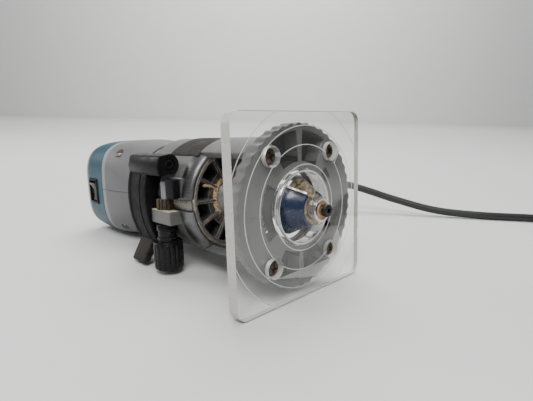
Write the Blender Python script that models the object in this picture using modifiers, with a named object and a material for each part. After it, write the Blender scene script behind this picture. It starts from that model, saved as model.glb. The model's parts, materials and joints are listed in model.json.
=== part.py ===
"""Compact corded router in its fixed base, with a square clear insert plate screwed to the base.

The tool lies on its side, resting on the lower edge of the plate and on the rear housing.
Everything is drawn in the tool's own frame in millimetres: X along the spindle towards the
cutter, Z up across the tool, origin where the spindle axis meets the plate's front face.
The empty "tool_frame" then tilts the tool and sets it on the Z = 0 plane, in metres.
"""
import math

import bmesh
import bpy
from mathutils import Matrix, Vector

MM = 0.001

# ---- driving dimensions (mm, degrees) ----
TILT = 4.137                       # nose-up lean while it rests on plate edge and housing
FRAME_X, FRAME_Y, FRAME_Z = 94.25, 0.0, 49.632
FIT = 0.3                         # gap kept between two touching pieces

PLATE_HALF = 50.0
PLATE_THICK = 6.35
PLATE_CORNER = 6.5
PLATE_SHIFT_Z = 0.7
PLATE_HOLE_R = 19.3
SCREW_Y, SCREW_Z = 23.5, 28.6
SCREW_SEAT = -5.2

FLANGE_R = 45.0
FLANGE_FRONT, FLANGE_BACK = -PLATE_THICK - FIT, -13.2
FLANGE_SCALLOPS = 44
BASE_BORE_R = 19.5
RING_BORE_R, RING_R = 32.8, 37.0
RING_FRONT, RING_BACK = -56.6, -111.0
LEG_HALF_ANGLE = 38.0

BARREL_R, BARREL_BORE_R = 32.5, 30.0
BARREL_FRONT, BARREL_BACK = -56.3, -131.0

TOOTH_PITCH = 2.356
PINION_TEETH = 12
PINION_PITCH_R = 4.5
KNOB_X, KNOB_Y = -78.5, -38.55
RACK_PITCH_Y = KNOB_Y + PINION_PITCH_R
RACK_Z0, RACK_Z1 = -3.8, 2.2

PIVOT_Y, PIVOT_Z = -36.8, 23.2
LEVER_BACK, LEVER_FRONT, CHEEK_FRONT = -110.0, -88.3, -73.0

HOUSING_FRONT, CAP_FRONT, CAP_BACK, END_BACK = -126.0, -170.3, -197.0, -202.5
SWITCH_X, SWITCH_Y, SWITCH_Z = -186.5, -36.0, -2.0
SWITCH_LEAN = 7.0

CORD_R = 3.5
COIL_X, COIL_Y, COIL_Z = 207.8, 270.2, 13.1
COIL_MID_R, COIL_R = 42.5, 11.5


# ---- small tools ----
def wipe_scene():
    for item in list(bpy.data.objects):
        bpy.data.objects.remove(item, do_unlink=True)


def collection(name):
    made = bpy.data.collections.new(name)
    bpy.context.scene.collection.children.link(made)
    return made


def material(name, colour, rough, metal=0.0, clear=0.0):
    made = bpy.data.materials.new(name)
    made.use_nodes = True
    shader = made.node_tree.nodes["Principled BSDF"]
    shader.inputs["Base Color"].default_value = (*colour, 1.0)
    shader.inputs["Roughness"].default_value = rough
    shader.inputs["Metallic"].default_value = metal
    shader.inputs["Transmission Weight"].default_value = clear
    made.diffuse_color = (*colour, 1.0)
    return made


def to_object(name, bm):
    bmesh.ops.remove_doubles(bm, verts=bm.verts, dist=1e-4)
    bmesh.ops.recalc_face_normals(bm, faces=bm.faces)
    mesh = bpy.data.meshes.new(name)
    bm.to_mesh(mesh)
    bm.free()
    made = bpy.data.objects.new(name, mesh)
    PARTS.objects.link(made)
    return made


def axis_matrix(axis):
    """Turns a shape built along Z so that it lies along the named axis."""
    if axis == "X":
        return Matrix.Rotation(math.radians(90), 4, "Y")
    if axis == "Y":
        return Matrix.Rotation(math.radians(-90), 4, "X")
    return Matrix.Identity(4)


def lathe(name, profile, steps=48, axis=(1, 0, 0), centre=(0, 0, 0), angle=360.0, start=0.0):
    """Spins (along, radius) points round the X axis, or round an axis given by a vector."""
    bm = bmesh.new()
    verts = [bm.verts.new((a, 0.0, r)) for a, r in profile]
    on_axis = abs(profile[0][1]) < 1e-9 and abs(profile[-1][1]) < 1e-9
    pairs = list(zip(verts, verts[1:] + verts[:1]))
    edges = [bm.edges.new(p) for p in (pairs[:-1] if on_axis else pairs)]
    geom = verts + edges
    if angle < 360.0:
        geom = geom + [bm.faces.new(verts)]
    bmesh.ops.rotate(bm, verts=verts, cent=(0, 0, 0),
                     matrix=Matrix.Rotation(math.radians(start), 3, "X"))
    bmesh.ops.spin(bm, geom=geom, cent=(0, 0, 0), axis=(1, 0, 0), dvec=(0, 0, 0),
                   angle=math.radians(angle), steps=steps, use_duplicate=False)
    turn = Vector((1, 0, 0)).rotation_difference(Vector(axis)).to_matrix().to_4x4()
    bmesh.ops.transform(bm, matrix=Matrix.Translation(centre) @ turn, verts=bm.verts)
    return to_object(name, bm)


def box(name, low, high):
    bm = bmesh.new()
    bmesh.ops.create_cube(bm, size=1.0)
    size = [h - l for l, h in zip(low, high)]
    mid = [(l + h) / 2 for l, h in zip(low, high)]
    bmesh.ops.scale(bm, vec=size, verts=bm.verts)
    bmesh.ops.translate(bm, vec=mid, verts=bm.verts)
    return to_object(name, bm)


def rod(name, radius, start, end, at, axis="X", steps=24, radius_end=None, spin=0.0):
    """A cylinder or cone along one axis; "at" is its place in the other two axes."""
    bm = bmesh.new()
    bmesh.ops.create_cone(bm, cap_ends=True, segments=steps, radius1=radius,
                          radius2=radius if radius_end is None else radius_end,
                          depth=end - start)
    bmesh.ops.rotate(bm, verts=bm.verts, cent=(0, 0, 0),
                     matrix=Matrix.Rotation(math.radians(spin), 3, "Z"))
    bmesh.ops.transform(bm, matrix=axis_matrix(axis), verts=bm.verts)
    mid = (start + end) / 2
    place = {"X": (mid, at[0], at[1]), "Y": (at[0], mid, at[1]), "Z": (at[0], at[1], mid)}[axis]
    bmesh.ops.translate(bm, vec=place, verts=bm.verts)
    return to_object(name, bm)


def prism(name, outline, start, end, axis="X"):
    """Extrudes a flat outline along X (outline in Y, Z) or along Z (outline in X, Y)."""
    bm = bmesh.new()
    if axis == "X":
        verts = [bm.verts.new((start, a, b)) for a, b in outline]
        push = (end - start, 0, 0)
    else:
        verts = [bm.verts.new((a, b, start)) for a, b in outline]
        push = (0, 0, end - start)
    face = bm.faces.new(verts)
    out = bmesh.ops.extrude_face_region(bm, geom=[face])
    moved = [g for g in out["geom"] if isinstance(g, bmesh.types.BMVert)]
    bmesh.ops.translate(bm, vec=push, verts=moved)
    return to_object(name, bm)


def loft(name, sections):
    """Skins a row of rings, each a list of 3-D points, and closes both ends."""
    bm = bmesh.new()
    rings = [[bm.verts.new(p) for p in ring] for ring in sections]
    for ring, following in zip(rings, rings[1:]):
        count = len(ring)
        for i in range(count):
            j = (i + 1) % count
            bm.faces.new((ring[i], ring[j], following[j], following[i]))
    bm.faces.new(rings[0])
    bm.faces.new(rings[-1])
    return to_object(name, bm)


def is_closed(mesh):
    bm = bmesh.new()
    bm.from_mesh(mesh)
    closed = all(len(edge.link_faces) == 2 for edge in bm.edges)
    bm.free()
    return closed


def boolean(piece, tool, kind):
    """Joins, cuts or intersects with EXACT, and with MANIFOLD where EXACT leaves a gap."""
    for solver in ("EXACT", "MANIFOLD"):
        mod = piece.modifiers.new(kind, "BOOLEAN")
        mod.operation = kind
        mod.solver = solver
        mod.object = tool
        bpy.context.view_layer.update()
        graph = bpy.context.evaluated_depsgraph_get()
        mesh = bpy.data.meshes.new_from_object(piece.evaluated_get(graph))
        piece.modifiers.clear()
        if is_closed(mesh):
            break
    piece.data = mesh
    mesh.name = piece.name
    bpy.data.objects.remove(tool, do_unlink=True)
    return piece


def cut(piece, *tools):
    for tool in tools:
        boolean(piece, tool, "DIFFERENCE")
    return piece


def join(piece, *tools):
    for tool in tools:
        boolean(piece, tool, "UNION")
    return piece


def merged(objects):
    """Gathers loose cutters into one object, so that one Boolean takes them all."""
    bm = bmesh.new()
    for item in objects:
        bm.from_mesh(item.data)
    name = objects[0].name
    for item in objects:
        bpy.data.objects.remove(item, do_unlink=True)
    return to_object(name, bm)


def polar(radius, degrees):
    return (radius * math.cos(math.radians(degrees)), radius * math.sin(math.radians(degrees)))


def arc(radius, a0, a1, steps, cy=0.0, cz=0.0):
    return [(cy + polar(radius, a0 + (a1 - a0) * i / steps)[0],
             cz + polar(radius, a0 + (a1 - a0) * i / steps)[1]) for i in range(steps + 1)]


def soften(outline, radius, steps=2):
    """Rounds each sharp corner of a closed outline with a short curve."""
    out = []
    count = len(outline)
    for i, point in enumerate(outline):
        p = Vector(point)
        before, after = Vector(outline[i - 1]), Vector(outline[(i + 1) % count])
        u, v = before - p, after - p
        if u.angle(v) > math.radians(150):
            out.append(tuple(p))
            continue
        reach = min(radius, u.length * 0.48, v.length * 0.48)
        start, end = p + u.normalized() * reach, p + v.normalized() * reach
        for k in range(steps + 1):
            t = k / steps
            out.append(tuple(start * (1 - t) ** 2 + p * 2 * t * (1 - t) + end * t * t))
    return out


def sector(r0, r1, a0, a1, steps=4):
    return arc(r1, a0, a1, steps) + arc(r0, a1, a0, max(1, steps - 2))


def squircle(x, half_y, half_z, power, count=32):
    """A rounded-square ring across the tool at station x."""
    ring = []
    for i in range(count):
        a = 2 * math.pi * i / count
        c, s = math.cos(a), math.sin(a)
        r = ((abs(c) / half_y) ** power + (abs(s) / half_z) ** power) ** (-1 / power)
        ring.append((x, r * c, r * s))
    return ring


def crease(mesh, degrees=32):
    mesh.shade_smooth()
    mesh.set_sharp_from_angle(angle=math.radians(degrees))


def settle(piece, mat, holder):
    """Puts the piece's origin on its holder, in metres, and gives it its material."""
    origin = PIVOTS[holder]
    piece.data.transform(Matrix.Scale(MM, 4) @ Matrix.Translation(-Vector(origin)))
    piece.parent = HOLDERS[holder]
    piece.data.materials.clear()
    piece.data.materials.append(mat)
    crease(piece.data)
    return piece


def empty(name, at, parent=None):
    made = bpy.data.objects.new(name, None)
    made.empty_display_size = 0.01
    PARTS.objects.link(made)
    made.parent = parent
    made.location = Vector(at) * MM
    return made


# ---- base ----
def make_insert_plate():
    h, c = PLATE_HALF, PLATE_CORNER
    outline = []
    for cy, cz, a in ((h - c, h - c, 0), (c - h, h - c, 90), (c - h, c - h, 180), (h - c, c - h, 270)):
        outline += arc(c, a, a + 90, 5, cy, cz + PLATE_SHIFT_Z)
    plate = prism("insert_plate", outline, -PLATE_THICK, 0.0)
    cut(plate, rod("hole", PLATE_HOLE_R, -8, 2, (0, 0), steps=44))
    for y, z in screw_places():
        cut(plate, rod("seat", 5.3, SCREW_SEAT, 2, (y, z), steps=16))
        cut(plate, rod("clear", 2.25, -8, 2, (y, z), steps=10))
    return plate


def screw_places():
    return [(-SCREW_Y, SCREW_Z), (SCREW_Y, SCREW_Z), (SCREW_Y, -SCREW_Z), (-SCREW_Y, -SCREW_Z)]


def make_plate_screw(index, y, z):
    seat = SCREW_SEAT + FIT
    profile = [(-15.0, 0.0), (-15.0, 1.7), (seat, 1.7), (seat, 3.9), (seat + 0.9, 3.8),
               (seat + 1.6, 2.6), (seat + 1.6, 0.0)]
    screw = lathe("plate_screw_%d" % index, profile, steps=12, centre=(0, y, z))
    for w, t in ((2.3, 0.55), (0.55, 2.3)):
        cut(screw, box("cross", (seat + 0.5, y - w, z - t), (seat + 3, y + w, z + t)))
    return screw


def flange_outline():
    count = FLANGE_SCALLOPS * 2
    return [polar(FLANGE_R - (0.8 if i % 2 else 0.0), 360.0 * (i + 0.5) / count) for i in range(count)]


def make_base_casting():
    casting = prism("base_casting", flange_outline(), FLANGE_BACK, FLANGE_FRONT)
    for mid in (90, 270):
        a0, a1 = mid - LEG_HALF_ANGLE, mid + LEG_HALF_ANGLE
        join(casting, prism("root", sector(22.5, 43.0, a0 - 2, a1 + 2, 8), -17.0, FLANGE_BACK + 1))
        join(casting, prism("leg", sector(33.3, 37.6, a0, a1, 8), RING_FRONT - 5, -16.0))
    lip = [(RING_FRONT, RING_BORE_R + 0.3), (-58.0, 34.9), (-61.0, 36.3), (-65.5, RING_R),
           (RING_BACK + 0.8, RING_R), (RING_BACK, RING_R - 0.8), (RING_BACK, RING_BORE_R),
           (RING_FRONT - 0.4, RING_BORE_R)]
    join(casting, lathe("ring", lip, steps=48))
    # pads and lugs on the clamp side
    join(casting, box("pad", (-75.9, -36.9, 3.2), (-63.2, -33.0, 15.2)))
    join(casting, box("boss", (-87.5, -43.4, -12.5), (-66.5, -33.4, -4.4)))
    join(casting, rod("ear", 4.6, -95.0, -86.0, (PIVOT_Y, PIVOT_Z), steps=14))
    reach = Vector((PIVOT_Y, PIVOT_Z)).normalized()
    side = Vector((-reach.y, reach.x)) * 3.5
    web = [reach * 35.0 - side, reach * 43.5 - side, reach * 43.5 + side, reach * 35.0 + side]
    join(casting, prism("web", [tuple(p) for p in web], -95.0, -86.0))
    # bore, chamfer and pockets of the flange
    cut(casting, rod("bore", BASE_BORE_R, -30, 0, (0, 0), steps=36))
    cut(casting, rod("chamfer", BASE_BORE_R, -8.8, -6.4, (0, 0), steps=36, radius_end=BASE_BORE_R + 2.2))
    pockets = []
    for a0, a1 in ((93.2, 121), (59, 86.8), (239, 266.8), (273.2, 301)):
        pockets.append(prism("pocket", soften(sector(24.6, 41.0, a0, a1), 3.0), -15.6, 0))
    cut(casting, merged(pockets))
    slots = [prism("slot", soften(sector(21.8, 28.5, 148, 212), 2.0), -30, 0)]
    for a in (35, -35):
        slots.append(prism("slot", soften(sector(24.0, 29.5, a - 8, a + 8, 3), 1.5), -30, 0))
    cut(casting, merged(slots))
    bosses = merged([rod("boss", 6.6, -16.5, FLANGE_FRONT, p, steps=16) for p in screw_places()])
    join(casting, bosses)
    cut(casting, merged([rod("thread", 2.05, -15.6, 0, p, steps=10) for p in screw_places()]))
    # rack channel, open to the outside behind the lip
    cut(casting, box("channel", (-113, -35.3, -4.4), (-50, -31.5, 3.0)))
    cut(casting, box("window", (-113, -50.0, -4.4), (-62.5, -31.5, 3.0)))
    # shaft bore, room for knob and neck, and the lever bolt
    cut(casting, rod("shaft", 2.4, -14, 15, (KNOB_X, KNOB_Y), axis="Z", steps=14))
    cut(casting, rod("neck", 6.9, -26, -12.8, (KNOB_X, KNOB_Y), axis="Z", steps=24))
    cut(casting, rod("bolt", 2.15, -97, -84, (PIVOT_Y, PIVOT_Z), steps=16))
    # shallow seat of the grip panel
    cut(casting, prism("seat", sector(36.0, 39.0, 90 - 42.5, 90 + 42.5, 10), -92.3, -60.7))
    return casting


def make_grip_panel():
    return prism("grip_panel", sector(36.4, 37.5, 90 - 42, 90 + 42, 12), -92.0, -61.0)


def make_clamp_block():
    return box("clamp_block", (-75.9, -41.6, 3.6), (-63.4, -37.2, 15.0))


def make_lever_bolt():
    profile = [(-108.5, 0.0), (-108.5, 1.9), (-76.3, 1.9), (-76.3, 3.2), (-73.4, 3.2), (-73.4, 0.0)]
    bolt = lathe("lever_bolt", profile, steps=14, centre=(0, PIVOT_Y, PIVOT_Z))
    return cut(bolt, rod("socket", 1.8, -75.0, -70, (PIVOT_Y, PIVOT_Z), steps=6))


def lever_outer_y(z):
    return 12.5 - math.sqrt(59.0 ** 2 - (z - 0.8) ** 2)


def make_lock_lever():
    inner = [(-polar(37.6, a)[0], polar(37.6, a)[1]) for a in range(30, -37, -6)]
    outer = [(lever_outer_y(z), z) for z in (-27.5, -20, -10, 0, 10, 20, 27.0)]
    band = prism("lock_lever", inner + outer, LEVER_BACK, LEVER_FRONT)
    join(band, rod("knuckle", 6.1, LEVER_BACK, CHEEK_FRONT, (PIVOT_Y, PIVOT_Z), steps=20))
    cheek = [(PIVOT_Y, PIVOT_Z - 6.1), (PIVOT_Y, PIVOT_Z + 6.1), (-43.5, 28.4), (-45.4, 22.0), (-44.5, 16.5)]
    join(band, prism("cheek", cheek, LEVER_BACK, CHEEK_FRONT))
    tab = [(-33.5, -23.5), (-37.5, -24.0), (-40.2, -26.0), (-47.6, -38.6), (-46.8, -40.4),
           (-44.6, -41.0), (-42.6, -39.8), (-35.8, -29.5)]
    join(band, prism("tab", tab, LEVER_BACK, -95.0))
    cut(band, rod("slot", 5.0, -95.4, -85.6, (PIVOT_Y, PIVOT_Z), steps=16))
    cut(band, box("room", (-95.4, PIVOT_Y, PIVOT_Z - 8.5), (-85.6, PIVOT_Y + 9, PIVOT_Z + 8.5)))
    cut(band, rod("bore", 2.15, -120, -60, (PIVOT_Y, PIVOT_Z), steps=12))
    return cut(band, rod("sink", 3.6, -76.7, -60, (PIVOT_Y, PIVOT_Z), steps=14))


def involute_half_angle(radius):
    pressure = math.radians(20)
    base = PINION_PITCH_R * math.cos(pressure)
    at_pitch = math.pi / (2 * PINION_TEETH) - 0.085 / PINION_PITCH_R
    tilt = math.acos(min(1.0, base / max(radius, base)))
    return at_pitch + (math.tan(pressure) - pressure) - (math.tan(tilt) - tilt)


def pinion_outline():
    radii = (3.6, 4.25, 4.7, 5.15)
    outline = []
    for tooth in range(PINION_TEETH):
        mid = math.radians(90) + 2 * math.pi * tooth / PINION_TEETH
        flank = [(r, involute_half_angle(r) * (0.62 if r < 4 else 1.0)) for r in radii]
        for r, half in flank:
            outline.append((KNOB_X + r * math.cos(mid - half), KNOB_Y + r * math.sin(mid - half)))
        for r, half in reversed(flank):
            outline.append((KNOB_X + r * math.cos(mid + half), KNOB_Y + r * math.sin(mid + half)))
    return outline


def make_pinion_shaft():
    profile = [(-35.5, 0.0), (-35.5, 2.1), (12.0, 2.1), (13.2, 1.5), (13.8, 0.0)]
    shaft = lathe("pinion_shaft", profile, steps=14, axis=(0, 0, 1), centre=(KNOB_X, KNOB_Y, 0))
    return join(shaft, prism("gear", pinion_outline(), -4.0, 2.4, axis="Z"))


def knob_outline(radius, depth, ribs, centre):
    out = []
    for i in range(ribs * 4):
        r = radius - (depth if i % 4 in (0, 3) else 0.0)
        y, z = polar(r, 360.0 * (i + 0.5) / (ribs * 4))
        out.append((centre[0] + y, centre[1] + z))
    return out


def make_adjust_knob():
    knob = prism("adjust_knob", knob_outline(9.1, 0.5, 14, (KNOB_X, KNOB_Y)), -41.0, -23.6, axis="Z")
    profile = [(-26.0, 0.0), (-26.0, 6.1), (-20.5, 6.1), (-20.5, 5.5), (-17.0, 5.5), (-17.0, 6.1),
               (-13.2, 6.1), (-13.2, 0.0)]
    join(knob, lathe("neck", profile, steps=20, axis=(0, 0, 1), centre=(KNOB_X, KNOB_Y, 0)))
    return cut(knob, rod("bore", 2.4, -36.0, 0, (KNOB_X, KNOB_Y), axis="Z", steps=10))


# ---- motor ----
def make_motor_barrel():
    profile = [(BARREL_FRONT, 31.0), (BARREL_FRONT, BARREL_R - 0.3), (BARREL_FRONT - 0.5, BARREL_R),
               (BARREL_BACK, BARREL_R), (BARREL_BACK, BARREL_BORE_R), (BARREL_FRONT - 1.5, BARREL_BORE_R)]
    barrel = lathe("motor_barrel", profile, steps=48)
    return cut(barrel, box("recess", (-94.4, -40, RACK_Z0 - FIT), (-58.2, -31.2, RACK_Z1 + FIT)))


def make_rack():
    x0, x1 = -94.0, -58.5
    tip, root = RACK_PITCH_Y - 0.75, RACK_PITCH_Y + 0.94
    half_tip, half_root = 0.232, 0.846
    outline = [(x0, -31.5), (x0, root)]
    first = KNOB_X - 6.5 * TOOTH_PITCH
    for k in range(15):
        mid = first + k * TOOTH_PITCH
        outline += [(mid - half_root, root), (mid - half_tip, tip), (mid + half_tip, tip),
                    (mid + half_root, root)]
    outline += [(x1, root), (x1, -31.5)]
    return prism("rack", outline, RACK_Z0, RACK_Z1, axis="Z")


def make_front_end_cap():
    profile = [(-58.6, 29.7), (-70.0, 29.7), (-70.0, 11.3), (-61.0, 11.3), (-61.0, 5.4), (-52.5, 5.4),
               (-52.5, 8.6), (-59.4, 13.0), (-60.6, 14.0), (-60.6, 28.8), (-58.6, 28.8)]
    cap = lathe("front_end_cap", profile, steps=36)
    windows = [prism("window", sector(19.5, 28.4, a + 3, a + 27, 2), -75, -50) for a in range(0, 360, 30)]
    return cut(cap, merged(windows))


def ring(name, r0, r1, x0, x1, steps=20):
    return lathe(name, [(x0, r0), (x0, r1), (x1, r1), (x1, r0)], steps=steps)


def make_stator():
    core = ring("stator", 17.6, 29.6, -106.0, -74.0, 24)
    for a in (0, 180):
        y, z = polar(17.0, a)
        cut(core, box("flat", (-110, y - 2.5, -5), (-70, y + 2.5, 5)))
    return core


def make_cooling_fan():
    fan = ring("cooling_fan", 4.3, 26.5, -124.0, -122.4)
    join(fan, ring("hub", 4.3, 8.5, -122.5, -114.0))
    blades = []
    for k in range(6):
        blade = box("blade", (-122.6, 8.0, -0.7), (-114.0, 26.0, 0.7))
        blade.data.transform(Matrix.Rotation(math.radians(60 * k + 10), 4, "X"))
        blades.append(blade)
    return join(fan, *blades)


def make_brush_carrier():
    carrier = ring("brush_carrier", 9.9, 28.4, -158.0, -153.5, 24)
    for s in (-1, 1):
        cut(carrier, box("gate", (-160, min(s * 11, s * 26), -5.2), (-150, max(s * 11, s * 26), 5.2)))
    return carrier


def make_brush_holder(index, side):
    y0, y1 = sorted((side * 12.4, side * 25.4))
    holder = box("brush_holder_%d" % index, (-150.4, y0, -4.8), (-141.4, y1, 4.8))
    low, high = sorted((side * 10.0, side * 24.2))
    return cut(holder, box("guide", (-149.2, low, -3.6), (-142.6, high, 3.6)))


def make_brush(index, side):
    y0, y1 = sorted((side * 11.3, side * 21.0))
    return box("carbon_brush_%d" % index, (-148.9, y0, -3.3), (-142.9, y1, 3.3))


def housing_sections(inset=0.0):
    table = ((HOUSING_FRONT, 33.8, 33.6, 2.0), (-131.0, 34.4, 33.9, 2.1), (-138.0, 35.6, 34.4, 2.4),
             (-146.0, 37.0, 35.2, 2.8), (-154.0, 37.9, 35.9, 3.2), (-162.0, 38.4, 36.4, 3.5),
             (-170.0, 38.5, 36.6, 3.6))
    return [squircle(x, a - inset, b - inset, n) for x, a, b, n in table]


def make_housing_half(name, upper):
    shell = loft(name, housing_sections())
    cavity = lathe("cavity", [(-180, 0), (-180, 28.8), (-131.3, 28.8), (-131.3, 32.8), (-120, 32.8),
                              (-120, 0)], steps=32)
    cut(shell, cavity)
    split = 0.5
    low, high = ((-200, -60, -60), (-100, 60, split + FIT / 2)) if upper else \
                ((-200, -60, split - FIT / 2), (-100, 60, 60))
    cut(shell, box("split", low, high))
    holes = []
    for side in (-1, 1):
        holes.append(rod("hole", 1.75, -60, 60, (-152, side * 31.0), axis="Z", steps=12))
    cut(shell, merged(holes))
    sinks = [rod("sink", 3.3, 25.5 if upper else -60, 60 if upper else -25.5, (-152, side * 31.0),
                 axis="Z", steps=14) for side in (-1, 1)]
    return cut(shell, merged(sinks))


def make_housing_screw(index, side):
    profile = [(-26.5, 0.0), (-26.5, 1.4), (25.8, 1.4), (25.8, 2.8), (27.2, 2.7), (27.9, 1.9), (28.0, 0.0)]
    screw = lathe("housing_screw_%d" % index, profile, steps=10, axis=(0, 0, 1), centre=(-152, side * 31.0, 0))
    for w, t in ((1.8, 0.45), (0.45, 1.8)):
        cut(screw, box("cross", (-152 - w, side * 31 - t, 26.8), (-152 + w, side * 31 + t, 30)))
    return screw


def make_rear_cap():
    table = ((CAP_FRONT, 38.5, 36.6, 3.6), (-178, 38.5, 36.5, 3.6), (-186, 38.5, 36.3, 3.6),
             (-193, 38.4, 35.8, 3.6), (CAP_BACK, 38.2, 35.3, 3.6))
    cap = loft("rear_cap", [squircle(*row) for row in table])
    inner = [squircle(x, 35.8, 33.2, 3.4) for x in (-160, -194.4)]
    cut(cap, loft("inner", inner))
    cut(cap, box("switch", (SWITCH_X - 7.5, -45, SWITCH_Z - 10), (SWITCH_X + 7.5, -30, SWITCH_Z + 10)))
    return cut(cap, rod("gland", 7.3, 20, 60, (GUARD_X, GUARD_Z), axis="Y", steps=24))


def make_end_plate():
    table = ((CAP_BACK - FIT, 38.2, 35.2, 3.6), (-199.6, 38.1, 34.9, 3.6), (-201.4, 37.3, 34.0, 3.5),
             (END_BACK, 35.2, 32.0, 3.3))
    return loft("end_plate", [squircle(*row) for row in table])


def make_switch_bezel():
    x, z = SWITCH_X, SWITCH_Z
    bezel = box("switch_bezel", (x - 7.2, -39.4, z - 9.7), (x + 7.2, -33.5, z + 9.7))
    return cut(bezel, box("gap", (x - 5.7, -42, z - 8.1), (x + 5.7, -30, z + 8.1)))


def make_rocker_switch():
    half = 7.1
    shape = [(-34.2, -half + 1.5), (-38.6, -half), (-39.3, -half + 0.3), (-38.2, 0.0), (-39.3, half - 0.3),
             (-38.6, half), (-34.2, half - 1.5)]
    turn = Matrix.Rotation(math.radians(SWITCH_LEAN), 2)
    outline = []
    for y, z in shape:
        p = turn @ Vector((y - SWITCH_Y, z))
        outline.append((p.x + SWITCH_Y, p.y + SWITCH_Z))
    return prism("rocker_switch", outline, SWITCH_X - 5.3, SWITCH_X + 5.3)


# ---- spindle and cutter ----
def make_spindle_shaft():
    profile = [(-168.0, 0.0), (-168.0, 3.0), (-159.0, 3.0), (-159.0, 3.9), (-70.4, 3.9), (-70.4, 4.9),
               (-50.5, 4.9), (-50.5, 8.2), (-48.0, 8.2), (-48.0, 7.0), (-38.0, 7.0), (-38.0, 5.6),
               (-47.0, 4.2), (-47.0, 0.0)]
    return lathe("spindle_shaft", profile, steps=20)


def make_collet():
    profile = [(-46.5, 3.5), (-46.5, 3.9), (-38.2, 5.2), (-35.8, 5.2), (-35.8, 3.5)]
    return lathe("collet", profile, steps=14)


def make_collet_nut():
    nut = rod("collet_nut", 17.0 / math.sqrt(3), -47.4, -34.6, (0, 0), steps=6, spin=30)
    bore = lathe("bore", [(-50, 0), (-50, 7.3), (-37.6, 7.3), (-37.6, 5.5), (-35.5, 5.5), (-35.5, 4.0),
                          (-30, 4.0), (-30, 0)], steps=16)
    cut(nut, bore)
    cap = lathe("turned", [(-60, 0), (-60, 9.75), (-36.0, 9.75), (-34.6, 8.4), (-30, 8.4), (-30, 0)], steps=24)
    return boolean(nut, cap, "INTERSECT")


BIT_TURN = 50.0                   # where the two cutting edges stand
BIT_PROFILE = ((-15.5, 5.2), (-14.0, 12.5), (-12.6, 15.2), (-7.0, 15.8), (-4.0, 14.4), (-0.5, 12.2),
               (2.6, 10.6), (5.6, 9.2))


def make_bit_body():
    profile = [(-45.0, 0.0), (-45.0, 3.175), (-17.5, 3.175)] + list(BIT_PROFILE)
    profile += [(6.2, 4.6), (6.2, 2.2), (12.2, 2.2), (12.2, 0.0)]
    body = lathe("bit_body", profile, steps=24)
    gullets = []
    for k in range(2):
        gullet = box("gullet", (-17.0, 2.4, 4.4), (7.5, 18.0, 20.0))
        gullet.data.transform(Matrix.Rotation(math.radians(BIT_TURN + 180 * k), 4, "X"))
        gullets.append(gullet)
    return cut(body, merged(gullets))


def make_carbide(index, turn):
    """A tip plate that lies in the gullet, against its radial wall."""
    edge = [(a, r + 0.4) for a, r in BIT_PROFILE[1:]]
    outline = edge + [(5.6, 4.9), (-14.0, 4.9)]
    plate = prism("carbide_%d" % index, outline, 0.0, 1.3, axis="Z")
    stand = Matrix.Rotation(math.radians(90), 4, "X")
    plate.data.transform(Matrix.Translation((0, 2.7 + 1.3, 0)) @ stand)
    plate.data.transform(Matrix.Rotation(math.radians(BIT_TURN + turn), 4, "X"))
    return plate


def make_pilot_ring():
    return ring("pilot_ring", 4.95, 6.35, 6.7, 11.7, 28)


def make_pilot_seal():
    profile = [(6.7, 2.5), (6.7, 4.85), (11.35, 4.85), (11.35, 3.6), (11.6, 3.4), (11.6, 2.5)]
    return lathe("pilot_seal", profile, steps=16)


def make_pilot_screw():
    profile = [(12.6, 0.0), (12.6, 2.9), (13.0, 3.3), (15.3, 3.3), (15.6, 3.0), (15.6, 0.0)]
    screw = lathe("pilot_screw", profile, steps=16)
    return cut(screw, rod("socket", 1.45, 14.0, 20, (0, 0), steps=6))


# ---- mains lead ----
GUARD_X, GUARD_Z = -183.0, 4.0
GUARD_END_Y = 66.0


def world_of(point):
    """Tool-frame millimetres to world metres."""
    t = math.radians(TILT)
    x, y, z = point
    return Vector((FRAME_X + x * math.cos(t) - z * math.sin(t), FRAME_Y + y,
                   FRAME_Z + x * math.sin(t) + z * math.cos(t))) * MM


# route on and above the floor, world millimetres: the lead falls to the floor and leaves forwards
CORD_ROUTE = ((-60.0, 118.0, 36.0), (-30.0, 152.0, 31.5), (2.0, 184.0, 25.5), (34.0, 207.0, 15.0),
              (68.0, 228.0, 6.5), (103.0, 253.0, 3.9), (134.0, 277.0, 3.9), (158.4, 295.2, 3.9))
LEAD_TURN = -30.0                 # where the plug's lead leaves the coil
LEAD_R = 49.7                     # the outermost turn
LEAD_Z = 8.0
LEAD_FROM, PLUG_FROM = 28.5, 39.0  # distances along the plug's lead


def cord_points():
    start = world_of((GUARD_X, GUARD_END_Y + FIT, GUARD_Z)) / MM
    lead = world_of((GUARD_X, GUARD_END_Y + 16, GUARD_Z)) / MM
    return [start, lead] + [Vector(p) for p in CORD_ROUTE]


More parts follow.
